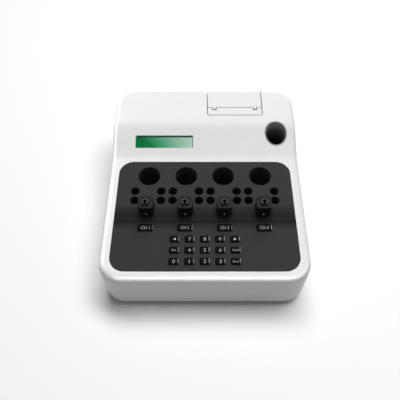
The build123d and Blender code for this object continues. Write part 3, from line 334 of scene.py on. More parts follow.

# %% [markdown]
# The measuring blocks must keep stray light away from the optics, so they are nearly black and matt inside and
# out. Their lids are touched all day: a dark grey with a smoother satin mould, which shows a light edge where the
# rim is rounded. The top of each collar is painted paler, a painted highlight where the light catches it.

# %% Measuring blocks and lids
BLOCKS = [name for name in frame["nodes"] if name.startswith("channel_block_")]
LIDS = [name for name in frame["nodes"] if name.startswith("channel_lid_")]
black_abs = moulded(
    "black_abs_matt", "#151515", "#111112", grain=0.5 * MM, depth=0.01 * MM, rough=0.5,
    IOR=1.53, Specular_IOR_Level=0.15,
)
lid_abs = moulded(
    "dark_grey_abs_satin", "#252526", "#212122", grain=0.4 * MM, depth=0.006 * MM, rough=0.4,
    IOR=1.53, Specular_IOR_Level=0.07,
)
COLLAR_TOP = PANEL_Z * cos(TILT) + 21.9 * MM
COLLAR_HIGHLIGHT_DEPTH = 1.2 * MM
tree, shader = parts_of(lid_abs)
# painted highlight: the top of each collar is painted paler
painted_collar_highlight = fade(tree, distance_along(tree, OFF_PANEL), COLLAR_TOP - COLLAR_HIGHLIGHT_DEPTH, COLLAR_TOP)
recolour(tree, shader, painted_collar_highlight, "#4d4d4e")
paint(black_abs, *BLOCKS)
paint(lid_abs, *LIDS)

# %% [markdown]
# The keys are black polycarbonate caps with a polished bevel round a satin top. They are darker than the panel,
# and their bevels catch the light from the side. Which of the two a surface is, its direction tells: `facing` gives
# 1 on the top, which is parallel to the panel, and 0.86 on a bevel. The roughness that follows from it takes the
# place of the recipe's own.

# %% Key caps
KEYS = [
    name for name in frame["nodes"]
    if name.startswith(("channel_key_", "key_")) and name not in ("key_mat", "key_board")
]
key_pc = moulded(
    "black_polycarbonate_key", "#0c0c0c", "#0a0a0a", grain=0.3 * MM, depth=0.001 * MM, rough=0.24, uneven=0.03,
    IOR=1.58, Specular_IOR_Level=0.025,
)
tree, shader = parts_of(key_pc)
satin = add_node(
    tree, "ShaderNodeMapRange",
    inputs={"From Min": 0.93, "From Max": 0.97, "To Min": 0.28, "To Max": 0.55},
    links={"Value": facing(tree, OFF_PANEL)},
)
tree.links.new(satin.outputs[0], shader.inputs["Roughness"])
paint(key_pc, *KEYS)
print("keys:", len(KEYS), "blocks:", len(BLOCKS), "lids:", len(LIDS))

# %% [markdown]
# The well liner is a black polypropylene cup that lifts out for washing. Polypropylene is waxy: softer gloss than
# ABS and a lower IOR of 1.49. It is painted grey towards the mouth and almost white at the very rim, painted light
# that stands for the light falling into the cup, and it is black from halfway down.

# %% Well liner
liner_pp = moulded(
    "black_polypropylene_liner", "#2c2c2c", "#262627", grain=0.6 * MM, depth=0.01 * MM, rough=0.45,
    IOR=1.49, Specular_IOR_Level=0.2,
)
MOUTH_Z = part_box("well_liner")[1][2]
tree, shader = parts_of(liner_pp)
height = distance_along(tree, (0, 0, 1))
# painted light: grey towards the mouth and almost white at the rim
recolour(tree, shader, fade(tree, height, MOUTH_Z - 48 * MM, MOUTH_Z - 10 * MM), "#7c7c7d")
recolour(tree, shader, fade(tree, height, MOUTH_Z - 20 * MM, MOUTH_Z - 2 * MM), "#d8d8da")
paint(liner_pp, "well_liner")
print("mouth of the bottle well at z", round(MOUTH_Z / MM, 1), "mm")

# %% [markdown]
# The heater blocks seen down the small wells are black anodised aluminium, which looks like a dark, dry glaze over
# a turned surface. Real tool marks are a few tenths of a millimetre apart, too fine to show, so they are drawn
# coarser: a Wave texture in bands along Z moves the roughness up and down. At a scale of 1 its bands repeat every
# 0.31 m, so this scale sets them 2.5 mm apart. A broad noise lets the dye drift between two close greys.

# %% Heater blocks
TOOL_WAVE = 8 * MM
DYE_PATCH = 15 * MM
heater_metal, heater_tree, heater_shader = new_material(
    "black_anodised_aluminium", IOR=1.65, Specular_IOR_Level=0.2
)
place = add_node(heater_tree, "ShaderNodeTexCoord").outputs["Object"]
turned = add_node(
    heater_tree, "ShaderNodeTexWave",
    fields={"wave_type": "BANDS", "bands_direction": "Z"},
    inputs={"Scale": 1 / TOOL_WAVE, "Distortion": 1.2, "Detail": 2.0, "Detail Scale": 3.0},
    links={"Vector": place},
)
dye = add_node(
    heater_tree, "ShaderNodeTexNoise", inputs={"Scale": 1 / DYE_PATCH, "Detail": 2.0}, links={"Vector": place}
)
dyed = add_node(
    heater_tree, "ShaderNodeMix", fields={"data_type": "RGBA"},
    inputs={6: linear("#3a3a3b"), 7: linear("#3e3e3f")},
    links={0: dye.outputs["Fac"]},
)
dry = add_node(
    heater_tree, "ShaderNodeMapRange", inputs={"To Min": 0.42, "To Max": 0.55},
    links={"Value": turned.outputs["Fac"]},
)
heater_tree.links.new(dyed.outputs[2], heater_shader.inputs["Base Color"])
heater_tree.links.new(dry.outputs[0], heater_shader.inputs["Roughness"])
paint(heater_metal, "heater_blocks")

# %% [markdown]
# The display is a green character display behind a clear window. Switched off, its glass looks like one smooth
# green sheet. Its colour runs from deep green at the left to pale at the right, a painted reflection of the light on
# the glass, and the pale part leans over towards the top. The window is one opaque piece here, so the colour run is
# painted with a ramp along a leaning direction: a step up the slope counts `LEAN` times as much as a step to the
# right. The slope rises 15 mm over 48 mm, on top of the panel's own tilt.

# %% Colour run of the display
SLOPE_ANGLE = TILT + atan2(15, 48)
UP_SLOPE = (0, cos(SLOPE_ANGLE), sin(SLOPE_ANGLE))
LEAN = 1.3
SHOWN_W, SHOWN_H = 81.1 * MM, 19.0 * MM
LCD_LOW, LCD_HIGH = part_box("lcd_window")
LCD_MID = [(low + high) / 2 for low, high in zip(LCD_LOW, LCD_HIGH)]
MID_UP = LCD_MID[1] * UP_SLOPE[1] + LCD_MID[2] * UP_SLOPE[2]
MID_LEANING = LCD_MID[0] + LEAN * MID_UP

display_glass, tree, shader = new_material(
    "green_display_glass", Roughness=0.08, IOR=1.5, Specular_IOR_Level=0.05
)
leaning = distance_along(tree, (1, LEAN * UP_SLOPE[1], LEAN * UP_SLOPE[2]))
along = add_node(
    tree, "ShaderNodeMapRange",
    inputs={"From Min": MID_LEANING - SHOWN_W / 2, "From Max": MID_LEANING + SHOWN_W / 2},
    links={"Value": leaning},
)
# painted reflection: deep green at the left to pale at the right, paler towards the top
run = add_node(tree, "ShaderNodeValToRGB", links={"Fac": along.outputs[0]})
stops = run.color_ramp.elements
stops[0].position, stops[0].color = 0.0, linear("#0a8a48")
stops[1].position, stops[1].color = 1.0, linear("#dcffee")
for position, code in ((0.2, "#12924e"), (0.44, "#5cc490"), (0.7, "#a6e4c4")):
    stops.new(position).color = linear(code)
paint(display_glass, "lcd_window")
print("display window:", round((LCD_HIGH[0] - LCD_LOW[0]) / MM, 1), "mm wide with its hidden flange")

# %% [markdown]
# A faint grid of character cells, 4 mm wide and 7 mm tall, keeps the display from looking like painted card. It
# multiplies the colour run. Dark lines are painted along the display's right, lower and upper edges, each a fade
# that starts a little inside the edge. Those along the right and upper edges are painted shade of the recess walls,
# the upper one a painted shadow of the recess's upper edge; the lower one is only darker towards the edge.

# %% Character cells and painted dark edge lines of the display
place = add_node(tree, "ShaderNodeTexCoord").outputs["Object"]
cells = add_node(
    tree, "ShaderNodeTexBrick",
    fields={"offset": 0.0},
    inputs={
        "Color1": linear("#ffffff"), "Color2": linear("#fdfdfd"), "Mortar": linear("#f6f6f6"),
        "Scale": 1.0, "Mortar Size": 0.15 * MM, "Mortar Smooth": 0.3,
        "Brick Width": 4.0 * MM, "Row Height": 7.0 * MM,
    },
    links={"Vector": place},
)
tint = add_node(
    tree, "ShaderNodeMix", fields={"data_type": "RGBA", "blend_type": "MULTIPLY"},
    inputs={0: 1.0},
    links={6: run.outputs["Color"], 7: cells.outputs["Color"]},
)
tree.links.new(tint.outputs[2], shader.inputs["Base Color"])
across = distance_along(tree, (1, 0, 0))
up_slope = distance_along(tree, UP_SLOPE)
RIGHT_EDGE = LCD_MID[0] + SHOWN_W / 2
LOWER_EDGE, UPPER_EDGE = MID_UP - SHOWN_H / 2, MID_UP + SHOWN_H / 2
# painted shade along the right and upper edges, a painted shadow at the upper one; darker at the lower edge
for distance, starts, full, code in (
    (across, RIGHT_EDGE - 1.1 * MM, RIGHT_EDGE - 0.8 * MM, "#5c8a72"),
    (up_slope, LOWER_EDGE + 0.9 * MM, LOWER_EDGE + 0.6 * MM, "#2c7a52"),
    (up_slope, UPPER_EDGE - 1.9 * MM, UPPER_EDGE - 1.4 * MM, "#0c3f24"),
):
    recolour(tree, shader, fade(tree, distance, starts, full), code)
print("display shown:", round(SHOWN_W / MM, 1), "by", round(SHOWN_H / MM, 1), "mm")

# %% [markdown]
# The four small lamps are 3 mm light-emitting diodes in a yellow diffused resin. The resin is cloudy, so light goes
# a little way in: that is subsurface scattering, with a radius of about a millimetre. They are on at standby, so
# they shine faintly of their own.

# %% Lamps in the blocks
led_resin = moulded(
    "yellow_diffused_resin", "#f0f08c", "#dcdc78", grain=0.4 * MM, depth=0.002 * MM, rough=0.3, uneven=0.04,
    IOR=1.54, Subsurface_Weight=0.2, Subsurface_Scale=1.0 * MM,
    Emission_Color=linear("#c4c878"), Emission_Strength=0.3,
)
paint(led_resin, "channel_leds")
LEDS_LOW, LEDS_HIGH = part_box("channel_leds")
print("first to last lamp:", round((LEDS_HIGH[0] - LEDS_LOW[0]) / MM, 1), "mm")

# %% [markdown]
# Bright metal parts differ in how they were finished. Pins and shafts are ground along their length, the print
# head's plate is milled, the motor and the screws are zinc plated. All are metallic with the default IOR, and a
# noise that is stretched along one axis gives the direction of the tool marks. The stretch is one Mapping node.

# %% Bright metals


def bright_metal(name, light, dark, marks, rough, depth, uneven=0.08):
    """Metal with tool marks; marks is the noise's scale along X, Y and Z, per metre."""
    material, tree, shader = new_material(name, Metallic=1.0)
    place = add_node(tree, "ShaderNodeTexCoord").outputs["Object"]
    drawn = add_node(tree, "ShaderNodeMapping", inputs={"Scale": marks}, links={"Vector": place})
    lines = add_node(
        tree, "ShaderNodeTexNoise", inputs={"Scale": 1.0, "Detail": 4.0, "Roughness": 0.6},
        links={"Vector": drawn.outputs["Vector"]},
    )
    colour = add_node(
        tree, "ShaderNodeMix", fields={"data_type": "RGBA"},
        inputs={6: linear(light), 7: linear(dark)},
        links={0: lines.outputs["Fac"]},
    )
    gloss = add_node(
        tree, "ShaderNodeMapRange", inputs={"To Min": rough - uneven, "To Max": rough + uneven},
        links={"Value": lines.outputs["Fac"]},
    )
    bump = add_node(
        tree, "ShaderNodeBump", inputs={"Strength": 1.0, "Distance": depth},
        links={"Height": lines.outputs["Fac"]},
    )
    tree.links.new(colour.outputs[2], shader.inputs["Base Color"])
    tree.links.new(gloss.outputs[0], shader.inputs["Roughness"])
    tree.links.new(bump.outputs["Normal"], shader.inputs["Normal"])
    return material


ALONG_X, MILLED, PLATED, FINE_PLATED = (200, 4000, 4000), (300, 3000, 3000), (700,) * 3, (1500,) * 3
ground_steel = bright_metal("ground_steel", "#c9cacb", "#b4b5b6", ALONG_X, 0.28, 0.003 * MM)
milled_aluminium = bright_metal("milled_aluminium", "#d6d7d9", "#c4c5c8", MILLED, 0.35, 0.005 * MM)
zinc_plate = bright_metal("zinc_plated_steel", "#bcbdba", "#a6a7a2", PLATED, 0.4, 0.004 * MM)
black_oxide = bright_metal("black_oxide_steel", "#1c1c1e", "#262628", ALONG_X, 0.45, 0.003 * MM)
tin_plate = bright_metal("tin_plated_steel", "#c8c8c4", "#b5b5b0", FINE_PLATED, 0.32, 0.002 * MM)
paint(ground_steel, "cover_hinge_pin", "platen_shaft")
paint(black_oxide, "lid_hinge_pins")
paint(milled_aluminium, "thermal_head")
paint(zinc_plate, "stepper_motor", "case_screws")
METALS = (ground_steel, milled_aluminium, zinc_plate, black_oxide, tin_plate)
print("metals:", ", ".join(metal.name for metal in METALS))

# %% [markdown]
# Rubber parts: the key mat is moulded silicone with a dry, soft surface, the feet and the platen's sleeve are
# harder nitrile rubber. Rubber has almost no gloss, and its colour drifts a little with dust and wear.

# %% Rubber
silicone = moulded(
    "grey_silicone_rubber", "#4a4b4c", "#434445", grain=0.5 * MM, depth=0.01 * MM, rough=0.7, IOR=1.41,
    Specular_IOR_Level=0.3,
)
nitrile = moulded(
    "black_nitrile_rubber", "#1b1b1b", "#232323", grain=0.8 * MM, depth=0.02 * MM, rough=0.8, broad=12 * MM,
    IOR=1.52, Specular_IOR_Level=0.25,
)
paint(silicone, "key_mat")
paint(nitrile, "feet", "platen_roller")
FEET_LOW, FEET_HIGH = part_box("feet")
print("feet are", round((FEET_HIGH[2] - FEET_LOW[2]) / MM, 1), "mm high")

# %% [markdown]
# Inside, the printer's frame is black glass-filled nylon, which shows short fibres near its surface. The gears are
# natural nylon: milky, a little yellow, and slightly translucent at the thin teeth.

# %% Printer plastics
frame_nylon = moulded(
    "black_glass_filled_nylon", "#2a2a2b", "#222223", grain=0.25 * MM, depth=0.015 * MM, rough=0.55, uneven=0.1,
    broad=2 * MM, IOR=1.53,
)
gear_nylon = moulded(
    "natural_nylon", "#e6e3d4", "#dedac8", grain=0.6 * MM, depth=0.004 * MM, rough=0.42,
    IOR=1.53, Subsurface_Weight=0.3, Subsurface_Scale=1.0 * MM,
)
paint(frame_nylon, "printer_frame")
paint(gear_nylon, "platen_gear", "motor_pinion")
print("materials so far:", len(bpy.data.materials))

# %% [markdown]
# A paper roll shows its winding on both ends as hundreds of fine rings, and nothing on its round side. A Wave
# texture in its rings form gives them, turned about the roll's own axis, with its centre moved to the roll. Real
# thermal paper is 0.06 mm thick, far too fine to show, so each light or dark ring here is 0.6 mm wide and stands
# for ten layers.

# %% Wound paper
ROLL_LOW, ROLL_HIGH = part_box("paper_roll")
LAYERS = 0.6 * MM
paper, tree, shader = new_material("thermal_paper", Roughness=0.85, IOR=1.5, Specular_IOR_Level=0.2)
place = add_node(tree, "ShaderNodeTexCoord").outputs["Object"]
centred = add_node(
    tree, "ShaderNodeMapping",
    inputs={"Location": [-(low + high) / 2 for low, high in zip(ROLL_LOW, ROLL_HIGH)]},
    links={"Vector": place},
)
rings = add_node(
    tree, "ShaderNodeTexWave",
    fields={"wave_type": "RINGS", "rings_direction": "X"},
    inputs={"Scale": 0.5 / LAYERS / pi, "Distortion": 0.4, "Detail": 1.0},
    links={"Vector": centred.outputs["Vector"]},
)
edge = add_node(
    tree, "ShaderNodeMix", fields={"data_type": "RGBA"},
    inputs={6: linear("#e9e8e2"), 7: linear("#f6f6f2")},
    links={0: rings.outputs["Fac"]},
)
tree.links.new(edge.outputs[2], shader.inputs["Base Color"])
paint(paper, "paper_roll")
print("paper roll:", round((ROLL_HIGH[1] - ROLL_LOW[1]) / MM, 1), "mm across")

# %% [markdown]
# A circuit board is glass epoxy under green solder mask. Copper tracks lie under the mask and show as slightly
# lighter green lines, mostly straight and at right angles. A Brick texture with thin mortar gives such lines. On
# the main board everything above the board's top face is a component, and components are black, so height decides.

# %% Circuit boards
BOARD_T = 1.6 * MM


def circuit_board(name, top):
    """Green board with tracks, and black components above this height in metres."""
    material, tree, shader = new_material(name, IOR=1.5, Specular_IOR_Level=0.4)
    place = add_node(tree, "ShaderNodeTexCoord").outputs["Object"]
    tracks = add_node(
        tree, "ShaderNodeTexBrick",
        inputs={
            "Color1": linear("#12502f"), "Color2": linear("#165a36"), "Mortar": linear("#2c7d50"),
            "Scale": 1.0, "Mortar Size": 0.35 * MM, "Mortar Smooth": 0.1,
            "Brick Width": 9.0 * MM, "Row Height": 2.6 * MM,
        },
        links={"Vector": place},
    )
    apart = add_node(tree, "ShaderNodeSeparateXYZ", links={"Vector": place})
    above = add_node(
        tree, "ShaderNodeMath", fields={"operation": "GREATER_THAN"},
        inputs={1: top}, links={0: apart.outputs["Z"]},
    )
    colour = add_node(
        tree, "ShaderNodeMix", fields={"data_type": "RGBA"},
        inputs={7: linear("#171718")},
        links={0: above.outputs[0], 6: tracks.outputs["Color"]},
    )
    gloss = add_node(
        tree, "ShaderNodeMapRange", inputs={"To Min": 0.3, "To Max": 0.5},
        links={"Value": above.outputs[0]},
    )
    tree.links.new(colour.outputs[2], shader.inputs["Base Color"])
    tree.links.new(gloss.outputs[0], shader.inputs["Roughness"])
    return material


BOARD_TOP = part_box("main_board")[0][2] + BOARD_T
MODULE_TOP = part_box("lcd_module")[1][2]
paint(circuit_board("main_board_solder_mask", BOARD_TOP + 0.1 * MM), "main_board")
paint(circuit_board("key_board_solder_mask", PANEL_Z), "key_board")
paint(circuit_board("display_board_solder_mask", MODULE_TOP), "lcd_module")
print("main board top at", round(BOARD_TOP / MM, 1), "mm")

# %% [markdown]
# The optics sit beside each cuvette in black anodised barrels. Their finish is as dry and dark as that of the heater
# blocks, and so fine that the recipe for moulded grain gives it.

# %% Optics
optics_metal = moulded(
    "black_anodised_optics", "#101012", "#17171a", grain=0.2 * MM, depth=0.004 * MM, rough=0.35,
    IOR=1.65, Specular_IOR_Level=0.3,
)
paint(optics_metal, "channel_optics")
print("optics finish:", optics_metal.name)

# %% [markdown]
# The rear panel is sheet steel with a light grey powder coat. Powder flows as it is baked and leaves orange peel,
# a low waviness about 1.5 mm across. The jack and the switch are black nylon, the rocker is polycarbonate with a
# smoother mould, and the serial connector has a shell of tin plated steel. Its black insert is made in the next step.

# %% Rear panel and connectors
powder_coat = moulded(
    "light_grey_powder_coat", "#b9babb", "#b2b3b4", grain=1.5 * MM, depth=0.03 * MM, rough=0.45, IOR=1.5
)
black_nylon = moulded(
    "black_nylon_connector", "#141415", "#19191a", grain=0.3 * MM, depth=0.006 * MM, rough=0.4, IOR=1.53
)
rocker_pc = moulded(
    "black_polycarbonate_rocker", "#0f0f10", "#131314", grain=0.3 * MM, depth=0.002 * MM, rough=0.22, IOR=1.58
)
paint(powder_coat, "rear_panel")
paint(black_nylon, "power_jack", "switch_housing")
paint(rocker_pc, "power_rocker")
paint(tin_plate, "serial_port")
REAR_LOW, REAR_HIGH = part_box("rear_panel")
print("rear panel:", round((REAR_HIGH[0] - REAR_LOW[0]) / MM, 1), "mm wide")

# %% [markdown]
# Inside its tin plated shell a serial connector has a black moulding with nine holes. Shell and moulding are one
# node in the CAD, so the insert is a thin plate of its own on the connector's rear face: a plane, narrowed at its
# lower edge as the connector is, extruded, and rounded by a Bevel modifier.

# %% Plate of the serial insert
INSERT_W, INSERT_H, INSERT_T = 15.2 * MM, 6.6 * MM, 0.2 * MM
LOWER_EDGE_SHARE = 0.86

bpy.ops.object.select_all(action="DESELECT")
bpy.ops.mesh.primitive_plane_add(size=1.0)
insert = bpy.context.object
insert.name = "serial_insert"
insert.scale = (INSERT_W, INSERT_H, 1)
bpy.ops.object.transform_apply(location=False, rotation=False, scale=True)
for vertex in insert.data.vertices:
    vertex.select = vertex.co.y < 0
for edge in insert.data.edges:
    edge.select = all(insert.data.vertices[v].select for v in edge.vertices)
for face in insert.data.polygons:
    face.select = False
bpy.ops.object.mode_set(mode="EDIT")
bpy.ops.transform.resize(value=(LOWER_EDGE_SHARE, 1, 1))
bpy.ops.mesh.select_all(action="SELECT")
bpy.ops.mesh.extrude_region_move(TRANSFORM_OT_translate={"value": (0, 0, INSERT_T)})
bpy.ops.mesh.select_all(action="SELECT")
bpy.ops.mesh.normals_make_consistent(inside=False)
bpy.ops.object.mode_set(mode="OBJECT")
soften = insert.modifiers.new("rounded_edges", "BEVEL")
soften.width = 0.08 * MM
soften.segments = 2
bpy.ops.object.modifier_apply(modifier=soften.name)
print("insert:", round(INSERT_W / MM, 1), "by", round(INSERT_H / MM, 1), "mm")

# %% [markdown]
# The holes stand in two rows, five above and four below, 2.76 mm apart. Each is drilled with a cylinder and a Boolean
# modifier, and the metal of the connector shows behind it. The finished plate is then turned to face the rear, and
# its place is applied to its mesh.

# %% Holes and place of the serial insert
HOLE_PITCH, HOLE_R, ROW_OFF = 2.76 * MM, 0.55 * MM, 1.4 * MM
for row_up, holes in ((ROW_OFF, 5), (-ROW_OFF, 4)):
    for place_in_row in range(holes):
        bpy.ops.object.select_all(action="DESELECT")
        bpy.ops.mesh.primitive_cylinder_add(
            vertices=16, radius=HOLE_R, depth=4 * INSERT_T,
            location=((place_in_row - (holes - 1) / 2) * HOLE_PITCH, row_up, 0),
        )
        drill = bpy.context.object
        bpy.ops.object.transform_apply(location=True, rotation=True, scale=True)
        bpy.ops.object.select_all(action="DESELECT")
        insert.select_set(True)
        bpy.context.view_layer.objects.active = insert
        hole = insert.modifiers.new("contact_hole", "BOOLEAN")
        hole.operation = "DIFFERENCE"
        hole.solver = "EXACT"
        hole.object = drill
        bpy.ops.object.modifier_apply(modifier=hole.name)
        bpy.data.objects.remove(drill)
SERIAL_LOW, SERIAL_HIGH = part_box("serial_port")
insert.rotation_euler = (pi / 2, 0, pi)
insert.location = (
    (SERIAL_LOW[0] + SERIAL_HIGH[0]) / 2, SERIAL_HIGH[1], (SERIAL_LOW[2] + SERIAL_HIGH[2]) / 2
)
bpy.ops.object.transform_apply(location=True, rotation=True, scale=True)
insert.data.materials.append(black_nylon)
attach(insert, "case")
print("insert face at y:", round(max(v.co.y for v in insert.data.vertices) / MM, 2), "mm")

# %% [markdown]
# Four pan-head screws hold the rear panel. A cylinder of 24 sides gives the head, a bevel on its outer rim the
# rounded shoulder, and two crossed boxes, cut out with a Boolean modifier, the recess for the driver. One function
# models a screw and sets it at a corner, each turned a little further than the last, because screws never stop at
# the same angle.

# %% Screws of the rear panel
HEAD_R, HEAD_T, SHOULDER_R = 2.3 * MM, 1.3 * MM, 0.6 * MM
RECESS_L, RECESS_W, RECESS_D = 2.8 * MM, 0.6 * MM, 0.7 * MM
SCREW_ACROSS, SCREW_UP, SCREW_TURN = 44 * MM, 11 * MM, 0.4


def screw_head(name, x, z, turn):
    """One pan-head screw on the rear panel, its head towards the rear."""
    bpy.ops.object.select_all(action="DESELECT")
    bpy.ops.mesh.primitive_cylinder_add(vertices=24, radius=HEAD_R, depth=HEAD_T, location=(0, 0, HEAD_T / 2))
    head = bpy.context.object
    head.name = name
    bpy.ops.object.transform_apply(location=True, rotation=True, scale=True)
    rim = head.modifiers.new("round_shoulder", "BEVEL")
    rim.width = SHOULDER_R
    rim.segments = 4
    rim.limit_method = "ANGLE"
    bpy.ops.object.modifier_apply(modifier=rim.name)
    for angle in (0, pi / 2):
        bpy.ops.object.select_all(action="DESELECT")
        bpy.ops.mesh.primitive_cube_add(size=1.0, location=(0, 0, HEAD_T), rotation=(0, 0, angle))
        cutter = bpy.context.object
        cutter.scale = (RECESS_L, RECESS_W, 2 * RECESS_D)
        bpy.ops.object.transform_apply(location=True, rotation=True, scale=True)
        bpy.ops.object.select_all(action="DESELECT")
        head.select_set(True)
        bpy.context.view_layer.objects.active = head
        cut = head.modifiers.new("driver_recess", "BOOLEAN")
        cut.operation = "DIFFERENCE"
        cut.solver = "EXACT"
        cut.object = cutter
        bpy.ops.object.modifier_apply(modifier=cut.name)
        bpy.data.objects.remove(cutter)
    bpy.ops.object.shade_smooth_by_angle(angle=radians(35))
    head.rotation_euler = (-pi / 2, turn, 0)
    head.location = (x, REAR_HIGH[1], z)
    bpy.ops.object.transform_apply(location=True, rotation=True, scale=True)
    head.data.materials.append(zinc_plate)
    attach(head, "case")


REAR_MID_X = (REAR_LOW[0] + REAR_HIGH[0]) / 2
REAR_MID_Z = (REAR_LOW[2] + REAR_HIGH[2]) / 2
CORNERS = ((-1, -1), (-1, 1), (1, -1), (1, 1))
for number, (side_x, side_z) in enumerate(CORNERS, 1):
    screw_head(
        f"rear_screw_{number}", REAR_MID_X + side_x * SCREW_ACROSS, REAR_MID_Z + side_z * SCREW_UP,
        number * SCREW_TURN,
    )
print("rear screws:", len(CORNERS))

# %% [markdown]
# Each key carries a generic legend, pad-printed in white ink. A legend is a text object, turned into a mesh and
# given a hair of thickness, because ink lies on the surface. Its outline is drawn in a little, for the thin strokes
# of pad printing. A plain font at a given size would come out a little too tall or wide, so each legend is scaled to
# the width and height that it has on the real keys. Its place comes from the key itself: the highest points of the
# key's mesh, measured off the panel, are its top face, and the printing sits just below the middle of it.

# %% The top face of a key


def key_top(node):
    """Centre of a key's flat top, as x, front and lift on the panel, in metres."""
    points = [v.co for v in frame["nodes"][node].data.vertices]
    off_panel = [(p.z - PANEL_Z) * cos(TILT) - p.y * sin(TILT) for p in points]
    towards_user = [-p.y * cos(TILT) - (p.z - PANEL_Z) * sin(TILT) for p in points]
    lift = max(off_panel)
    top = [(p.x, f) for p, f, o in zip(points, towards_user, off_panel) if o > lift - 0.05 * MM]
    xs = [x for x, front in top]
    fronts = [front for x, front in top]
    return (min(xs) + max(xs)) / 2, (min(fronts) + max(fronts)) / 2, lift


print("key_5 top:", [round(v / MM, 2) for v in key_top("key_5")])

# %% Flat words and how they are printed
INK_T = 0.04 * MM
THINNER = -0.02
white_ink = moulded(
    "white_pad_print_ink", "#f6f6f4", "#ebebe9", grain=0.4 * MM, depth=0.001 * MM, rough=0.5,
    broad=3 * MM, IOR=1.5,
)


def flat_word(name, words):
    """Words of the built-in font as a thin mesh, with their strokes drawn in a little."""
    bpy.ops.object.select_all(action="DESELECT")
    bpy.ops.object.text_add()
    piece = bpy.context.object
    piece.data.body = words
    piece.data.resolution_u = 3
    piece.data.extrude = 0.05
    piece.data.offset = THINNER
    bpy.ops.object.convert(target="MESH")
    piece = bpy.context.object
    piece.name = name
    return piece


def print_on(piece, width, height, place, upward, outward, body):
    """Scale a flat mesh to this size, lay it on a surface as ink, and let it ride on a body."""
    points = [vertex.co for vertex in piece.data.vertices]
    lows = [min(p[axis] for p in points) for axis in range(3)]
    highs = [max(p[axis] for p in points) for axis in range(3)]
    for point in points:
        point.x = (point.x - (lows[0] + highs[0]) / 2) * width / (highs[0] - lows[0])
        point.y = (point.y - (lows[1] + highs[1]) / 2) * height / (highs[1] - lows[1])
        point.z = (point.z - lows[2]) * INK_T / (highs[2] - lows[2])
    upward, outward = Vector(upward).normalized(), Vector(outward).normalized()
    turn = Matrix((upward.cross(outward), upward, outward)).transposed()
    piece.matrix_world = Matrix.Translation(place) @ turn.to_4x4()
    bpy.ops.object.transform_apply(location=True, rotation=True, scale=True)
    piece.data.materials.clear()
    piece.data.materials.append(white_ink)
    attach(piece, body)


print("ink is", INK_T / MM, "mm thick")

# %% [markdown]
# On a key the words stand upright as the user reads them, with their top away from the user, and they face off the
# panel. Each rides on its key, so that it goes down with the key. A 1 is a plain bar in this font, so it gets the
# width of a stroke, where the other digits get the width of a digit.

# %% Printed legends
LEGEND_DROP = 0.8 * MM
DIGIT_W, DIGIT_H, STROKE = 2.7 * MM, 4.4 * MM, 0.5 * MM
WORD_H, WORD_WIDTHS = 2.5 * MM, {"Esc": 5.2 * MM, "Mode": 7.0 * MM, "Enter": 7.4 * MM}
CHANNEL_W, CHANNEL_H = 10.4 * MM, 4.5 * MM


def lay_on_key(piece, node, width, height):
    """Print a mark on the top of a key."""
    x, front, lift = key_top(node)
    place = on_panel(x, front + LEGEND_DROP, lift)
    print_on(piece, width, height, place, [-v for v in TO_USER], OFF_PANEL, node)


def legend(node, words, width, height):
    """Print words on a key at this width and height, in metres."""
    lay_on_key(flat_word("legend_" + node, words), node, width, height)


for digit in "0123456789":
    legend("key_" + digit, digit, STROKE if digit == "1" else DIGIT_W, DIGIT_H)
for word, width in WORD_WIDTHS.items():
    legend("key_" + word.lower(), word, width, WORD_H)
for number in "1234":
    legend("channel_key_" + number, "CH " + number, CHANNEL_W, CHANNEL_H)

# %% [markdown]
# The two arrows are solid triangles. The built-in font has none, so each starts as a circle of three points, filled
# and extruded a little in edit mode, and is then laid on its key like the words.

# %% Printed arrows
ARROW_W, ARROW_H = 3.2 * MM, 3.0 * MM
for node, turn in (("key_left", pi / 2), ("key_right", -pi / 2)):
    bpy.ops.object.select_all(action="DESELECT")
    bpy.ops.mesh.primitive_circle_add(vertices=3, radius=1.0, fill_type="NGON", rotation=(0, 0, turn))
    arrow = bpy.context.object
    arrow.name = "legend_" + node
    bpy.ops.object.transform_apply(location=False, rotation=True, scale=False)
    bpy.ops.object.mode_set(mode="EDIT")
    bpy.ops.mesh.select_all(action="SELECT")
    bpy.ops.mesh.extrude_region_move(TRANSFORM_OT_translate={"value": (0, 0, 0.1)})
    bpy.ops.mesh.select_all(action="SELECT")
    bpy.ops.mesh.normals_make_consistent(inside=False)
    bpy.ops.object.mode_set(mode="OBJECT")
    lay_on_key(arrow, node, ARROW_W, ARROW_H)

# %% [markdown]
# The power rocker has the usual two marks, a ring for off on its upper half and a bar for on on its lower half. The
# two halves lean towards each other like an open book. At rest the rocker is turned 8 degrees about its axle, and
# each half leans another 11.3 degrees, a rise of 1.6 mm over 8 mm. The middle of each half, where its mark sits, is
# 4 mm above or below the axle and 4.4 mm out from it.

# %% Marks on the power rocker
AXLE = Vector((-50 * MM, 141 * MM, 44 * MM))
ROCKER_TURN = radians(8)
HALF_LEAN = atan2(1.6, 8)
MARK_OUT, MARK_OFF_AXLE, MARK_H = 4.4 * MM, 4 * MM, 3.0 * MM
RING_W, BAR_W = 2.8 * MM, 0.45 * MM
OUT = Vector((0, cos(ROCKER_TURN), sin(ROCKER_TURN)))
UP = Vector((0, -sin(ROCKER_TURN), cos(ROCKER_TURN)))
for name, words, side, width in (("off_mark", "O", 1, RING_W), ("on_mark", "I", -1, BAR_W)):
    upward = UP * cos(HALF_LEAN) + OUT * side * sin(HALF_LEAN)
    outward = OUT * cos(HALF_LEAN) - UP * side * sin(HALF_LEAN)
    place = AXLE + OUT * MARK_OUT + UP * side * MARK_OFF_AXLE
    print_on(
        flat_word(name, words), width, MARK_H, place, upward, outward, "rocker"
    )
    print(name, "at z", round(place.z / MM, 1), "mm")

# %% [markdown]
# The floor is a wide flat sheet of paper. Seen by the camera, or in a reflection, it is white. To the light that
# bounces off it onto the case it is greyer, because a studio floor is small and falls off into the dark, and this
# keeps the case's walls from being lit from below. The Light Path node tells the two apart. Its three outputs for
# camera, glossy and transmission rays are joined with Maximum nodes.

# %% Floor
bpy.context.scene.view_settings.view_transform = "Standard"
FLOOR_SIZE = 6.0


